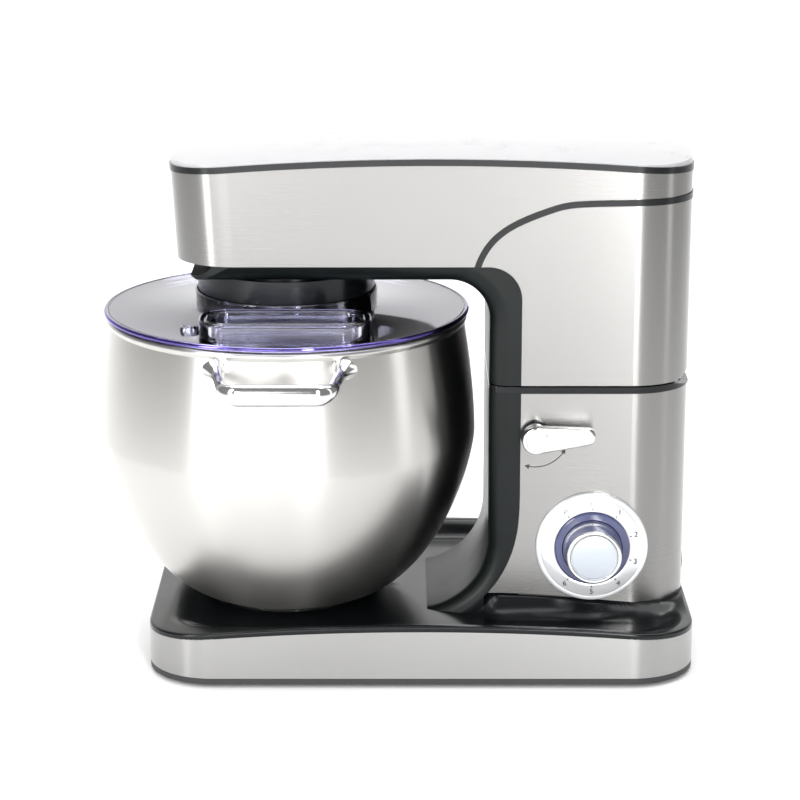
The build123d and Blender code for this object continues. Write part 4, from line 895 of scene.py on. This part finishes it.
# %% Lid
hub_low, hub_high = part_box("hub_housing")
COLLAR_R = (hub_high[0] - hub_low[0]) / 2 + 0.6 * MM
DISC = lid_low[2] + 1.7 * MM
DISC_TOP = DISC + 1.9 * MM
COLLAR_TOP = lid_high[2]
lid_outline = [(COLLAR_R, DISC + 0.3 * MM), (COLLAR_R + 0.3 * MM, DISC)]
lid_outline += [(LID_R - 4.0 * MM, DISC)] + arc(LID_R - 1.9 * MM, DISC + 0.4 * MM, 1.9 * MM, -150, 150, 16)
lid_outline += [(LID_R - 4.0 * MM, DISC_TOP), (COLLAR_R + 4.0 * MM, DISC_TOP)]
lid_outline += [(COLLAR_R + 2.3 * MM, DISC_TOP + 0.6 * MM), (COLLAR_R + 1.7 * MM, DISC_TOP + 1.8 * MM),
                (COLLAR_R + 1.6 * MM, COLLAR_TOP - 3.0 * MM)]
lid_outline += arc(COLLAR_R + 1.1 * MM, COLLAR_TOP - 1.1 * MM, 1.1 * MM, -60, 200, 10)
lid_outline += [(COLLAR_R, COLLAR_TOP - 3.0 * MM)]
lid_piece = lathe("clear_lid", lid_outline, (AXIS_X, 0, 0), "lid", clear_lid, FINE)
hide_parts("splash_lid")
print("lid rings", len(lid_outline), "collar", round(COLLAR_R, 4))

# %% [markdown]
# ## Pouring chute
# The chute is clear moulded plastic with two thin walls and rounded rims. Clear plastic is read from its
# edges: each rim is a bead that catches the light, so the piece is built as a closed outline swept round
# the chute's rounded plan.

# %% Chute
chute_low, chute_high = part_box("feed_chute")
CH_X = (chute_low[0] + chute_high[0]) / 2
CH_Y = (chute_low[1] + chute_high[1]) / 2
CH_A = (chute_high[0] - chute_low[0]) / 2
CH_B = (chute_high[1] - chute_low[1]) / 2


def chute_ring(inset, z, count=112):
    """Rounded plan of the chute at one height, drawn in by inset."""
    corner = 22 * MM - inset
    a = CH_A - inset - corner
    b = CH_B - inset - corner
    points = []
    for k in range(count):
        angle = 2 * pi * (k + 0.5) / count
        points.append((CH_X + (a if cos(angle) > 0 else -a) + corner * cos(angle),
                       CH_Y + (b if sin(angle) > 0 else -b) + corner * sin(angle), z))
    return points


TOP = chute_high[2]
LOW = lid_low[2] + (262.6 - 258.9) * MM
FOOT = chute_low[2]
profile = [(0.4, LOW + 0.1 * MM), (0.0, LOW + 0.6 * MM), (0.2, TOP - 2.2 * MM), (0.0, TOP - 1.4 * MM),
           (0.5, TOP - 0.3 * MM), (1.4, TOP), (2.4, TOP - 0.4 * MM), (3.2, TOP - 1.3 * MM),
           (4.6, TOP - 1.5 * MM), (5.2, TOP - 0.4 * MM), (6.2, TOP), (7.4, TOP - 0.4 * MM),
           (8.2, TOP - 1.5 * MM), (8.6, TOP - 4 * MM), (9.0, FOOT + 0.4 * MM), (8.4, FOOT),
           (7.4, FOOT + 0.3 * MM), (6.6, TOP - 3.4 * MM), (2.2, TOP - 3.2 * MM), (2.0, LOW + 0.1 * MM)]
made = bmesh.new()
rings = [[made.verts.new(p) for p in chute_ring(inset * MM, z)] for inset, z in profile]
bridge(made, rings, wrap=True)
bmesh.ops.recalc_face_normals(made, faces=made.faces)
chute = finish_mesh(made, "clear_chute", "lid", clear_chute, 70)
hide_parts("feed_chute")


HOLE_INSET = 6.2 * MM


def cut(piece, cutter):
    """Cut one piece with another by a Boolean, then drop the cutter."""
    knife = piece.modifiers.new("cut", "BOOLEAN")
    knife.operation = "DIFFERENCE"
    knife.object = cutter
    knife.solver = "EXACT"
    bpy.context.view_layer.update()
    result = bpy.data.meshes.new_from_object(piece.evaluated_get(bpy.context.evaluated_depsgraph_get()))
    piece.modifiers.clear()
    piece.data = result
    bpy.data.objects.remove(cutter)


made = bmesh.new()
rings = [[made.verts.new(p) for p in chute_ring(HOLE_INSET, DISC + reach)] for reach in (-8 * MM, 8 * MM)]
bridge(made, rings)
made.faces.new(list(reversed(rings[0])))
made.faces.new(rings[1])
bmesh.ops.recalc_face_normals(made, faces=made.faces)
cutter_mesh = bpy.data.meshes.new("cutter")
made.to_mesh(cutter_mesh)
made.free()
cutter = bpy.data.objects.new("cutter", cutter_mesh)
bpy.context.scene.collection.objects.link(cutter)
cut(lid_piece, cutter)
lid_piece.data.set_sharp_from_angle(angle=radians(35))

tab_profile = [(3.2, 0.2), (3.0, 2.4), (3.4, 3.4), (4.6, 3.8), (5.8, 3.4), (6.1, 2.2), (6.2, 0.2)]
TAB_PLACE = (CH_X - CH_A - 9 * MM, CH_Y + 14 * MM, DISC_TOP)
lathe("finger_tab", [(r * MM, h * MM) for r, h in tab_profile], TAB_PLACE, "lid", clear_chute, 48)
print("lid cut, faces", len(lid_piece.data.polygons))
print("chute", round(2 * CH_A, 4), "x", round(2 * CH_B, 4))

# %% [markdown]
# ## Studio
# A pale floor that curves up into a backdrop, one wide softbox overhead, a tall softbox at each side, one
# more beside the camera, and two broad cards in front. The tall boxes matter most: brushed steel shows them
# as the bright upright bands that make it look like steel.

# %% Floor and backdrop
def sheet_mesh(name, rows, material):
    """A grid of points as one smooth mesh."""
    mesh = bpy.data.meshes.new(name)
    points = [p for row in rows for p in row]
    width = len(rows[0])
    faces = [(r * width + c, r * width + c + 1, (r + 1) * width + c + 1, (r + 1) * width + c)
             for r in range(len(rows) - 1) for c in range(width - 1)]
    mesh.from_pydata(points, [], faces)
    for polygon in mesh.polygons:
        polygon.use_smooth = True
    mesh.materials.append(material)
    made = bpy.data.objects.new(name, mesh)
    bpy.context.scene.collection.objects.link(made)
    return made


def studio_paper():
    """Matt white paper with the faintest of tooth."""
    made = Finish("studio_paper", Roughness=0.9, Specular_IOR_Level=0.1)
    tooth = made.noise(made.place((1, 1, 1)), 900.0, 2.0)
    made.feed("Base Color", made.blend(tooth, (0.90, 0.90, 0.90, 1), (0.92, 0.92, 0.92, 1)))
    return made.mat


paper = studio_paper()
SWEEP = 1.2
WALL_Y = 3.2
FRONT_Y = -2.4
route = [(FRONT_Y, 0.0), (WALL_Y - SWEEP, 0.0)]
turns = [radians(9 * k) for k in range(1, 11)]
route += [(WALL_Y - SWEEP + SWEEP * sin(a), SWEEP - SWEEP * cos(a)) for a in turns]
route += [(WALL_Y, 5.0)]
backdrop = sheet_mesh("backdrop", [[(-6.0, y, z), (6.0, y, z)] for y, z in route], paper)
print("backdrop rows", len(route))


# %% [markdown]
# ## Lamps
# Every lamp is a rectangle of light, because a reflection shows the lamp's own shape. A bare point would
# leave a spark on the steel where a photographer's softbox leaves a clean band.

# %% Lights
def softbox(name, place, target, size, power):
    """An area light that looks at a point."""
    data = bpy.data.lights.new(name, "AREA")
    data.shape = "RECTANGLE"
    data.size, data.size_y = size
    data.energy = power
    made = bpy.data.objects.new(name, data)
    bpy.context.scene.collection.objects.link(made)
    made.location = place
    made.rotation_euler = (Vector(target) - Vector(place)).to_track_quat("-Z", "Y").to_euler()
    return made


MIDDLE = (0.0, 0.0, 0.2)
softbox("top_box", (0.1, 0.3, 2.2), MIDDLE, (2.6, 2.0), 50)
softbox("left_tower", (-1.4, -1.3, 0.8), MIDDLE, (0.40, 2.0), 26)
softbox("right_tower", (1.7, -0.5, 0.8), MIDDLE, (0.3, 2.0), 3)
softbox("rear_tower", (0.64, -2.7, 0.9), (0.2, 0.0, 0.2), (0.34, 2.2), 46)
softbox("front_card", (-0.9, -3.2, 1.2), MIDDLE, (1.2, 1.6), 20)
softbox("low_card", (-0.45, -1.7, 0.22), (-0.08, -0.1, 0.10), (1.5, 0.4), 7)
softbox("backdrop_light", (0.0, 1.2, 2.6), (0.0, 3.0, 0.8), (4.0, 0.8), 60)
world = bpy.data.worlds.new("studio_air")
world.use_nodes = True
world.node_tree.nodes["Background"].inputs[0].default_value = (1.0, 1.0, 1.0, 1.0)
world.node_tree.nodes["Background"].inputs[1].default_value = 0.30
bpy.context.scene.world = world
bpy.context.scene.view_settings.view_transform = "Standard"

# %% [markdown]
# ## Camera
# A long lens, a little above the machine, square to its flank.

# %% Camera
camera_data = bpy.data.cameras.new("camera")
camera_data.lens = 117.0
camera_data.sensor_width = 36.0
camera_data.clip_end = 50.0
camera = bpy.data.objects.new("camera", camera_data)
bpy.context.scene.collection.objects.link(camera)
camera.location = (0.005, -1.9466, 0.719)
camera.rotation_euler = (radians(74.7), 0.0, 0.0)
bpy.context.scene.camera = camera
print("camera", tuple(round(c, 3) for c in camera.location))
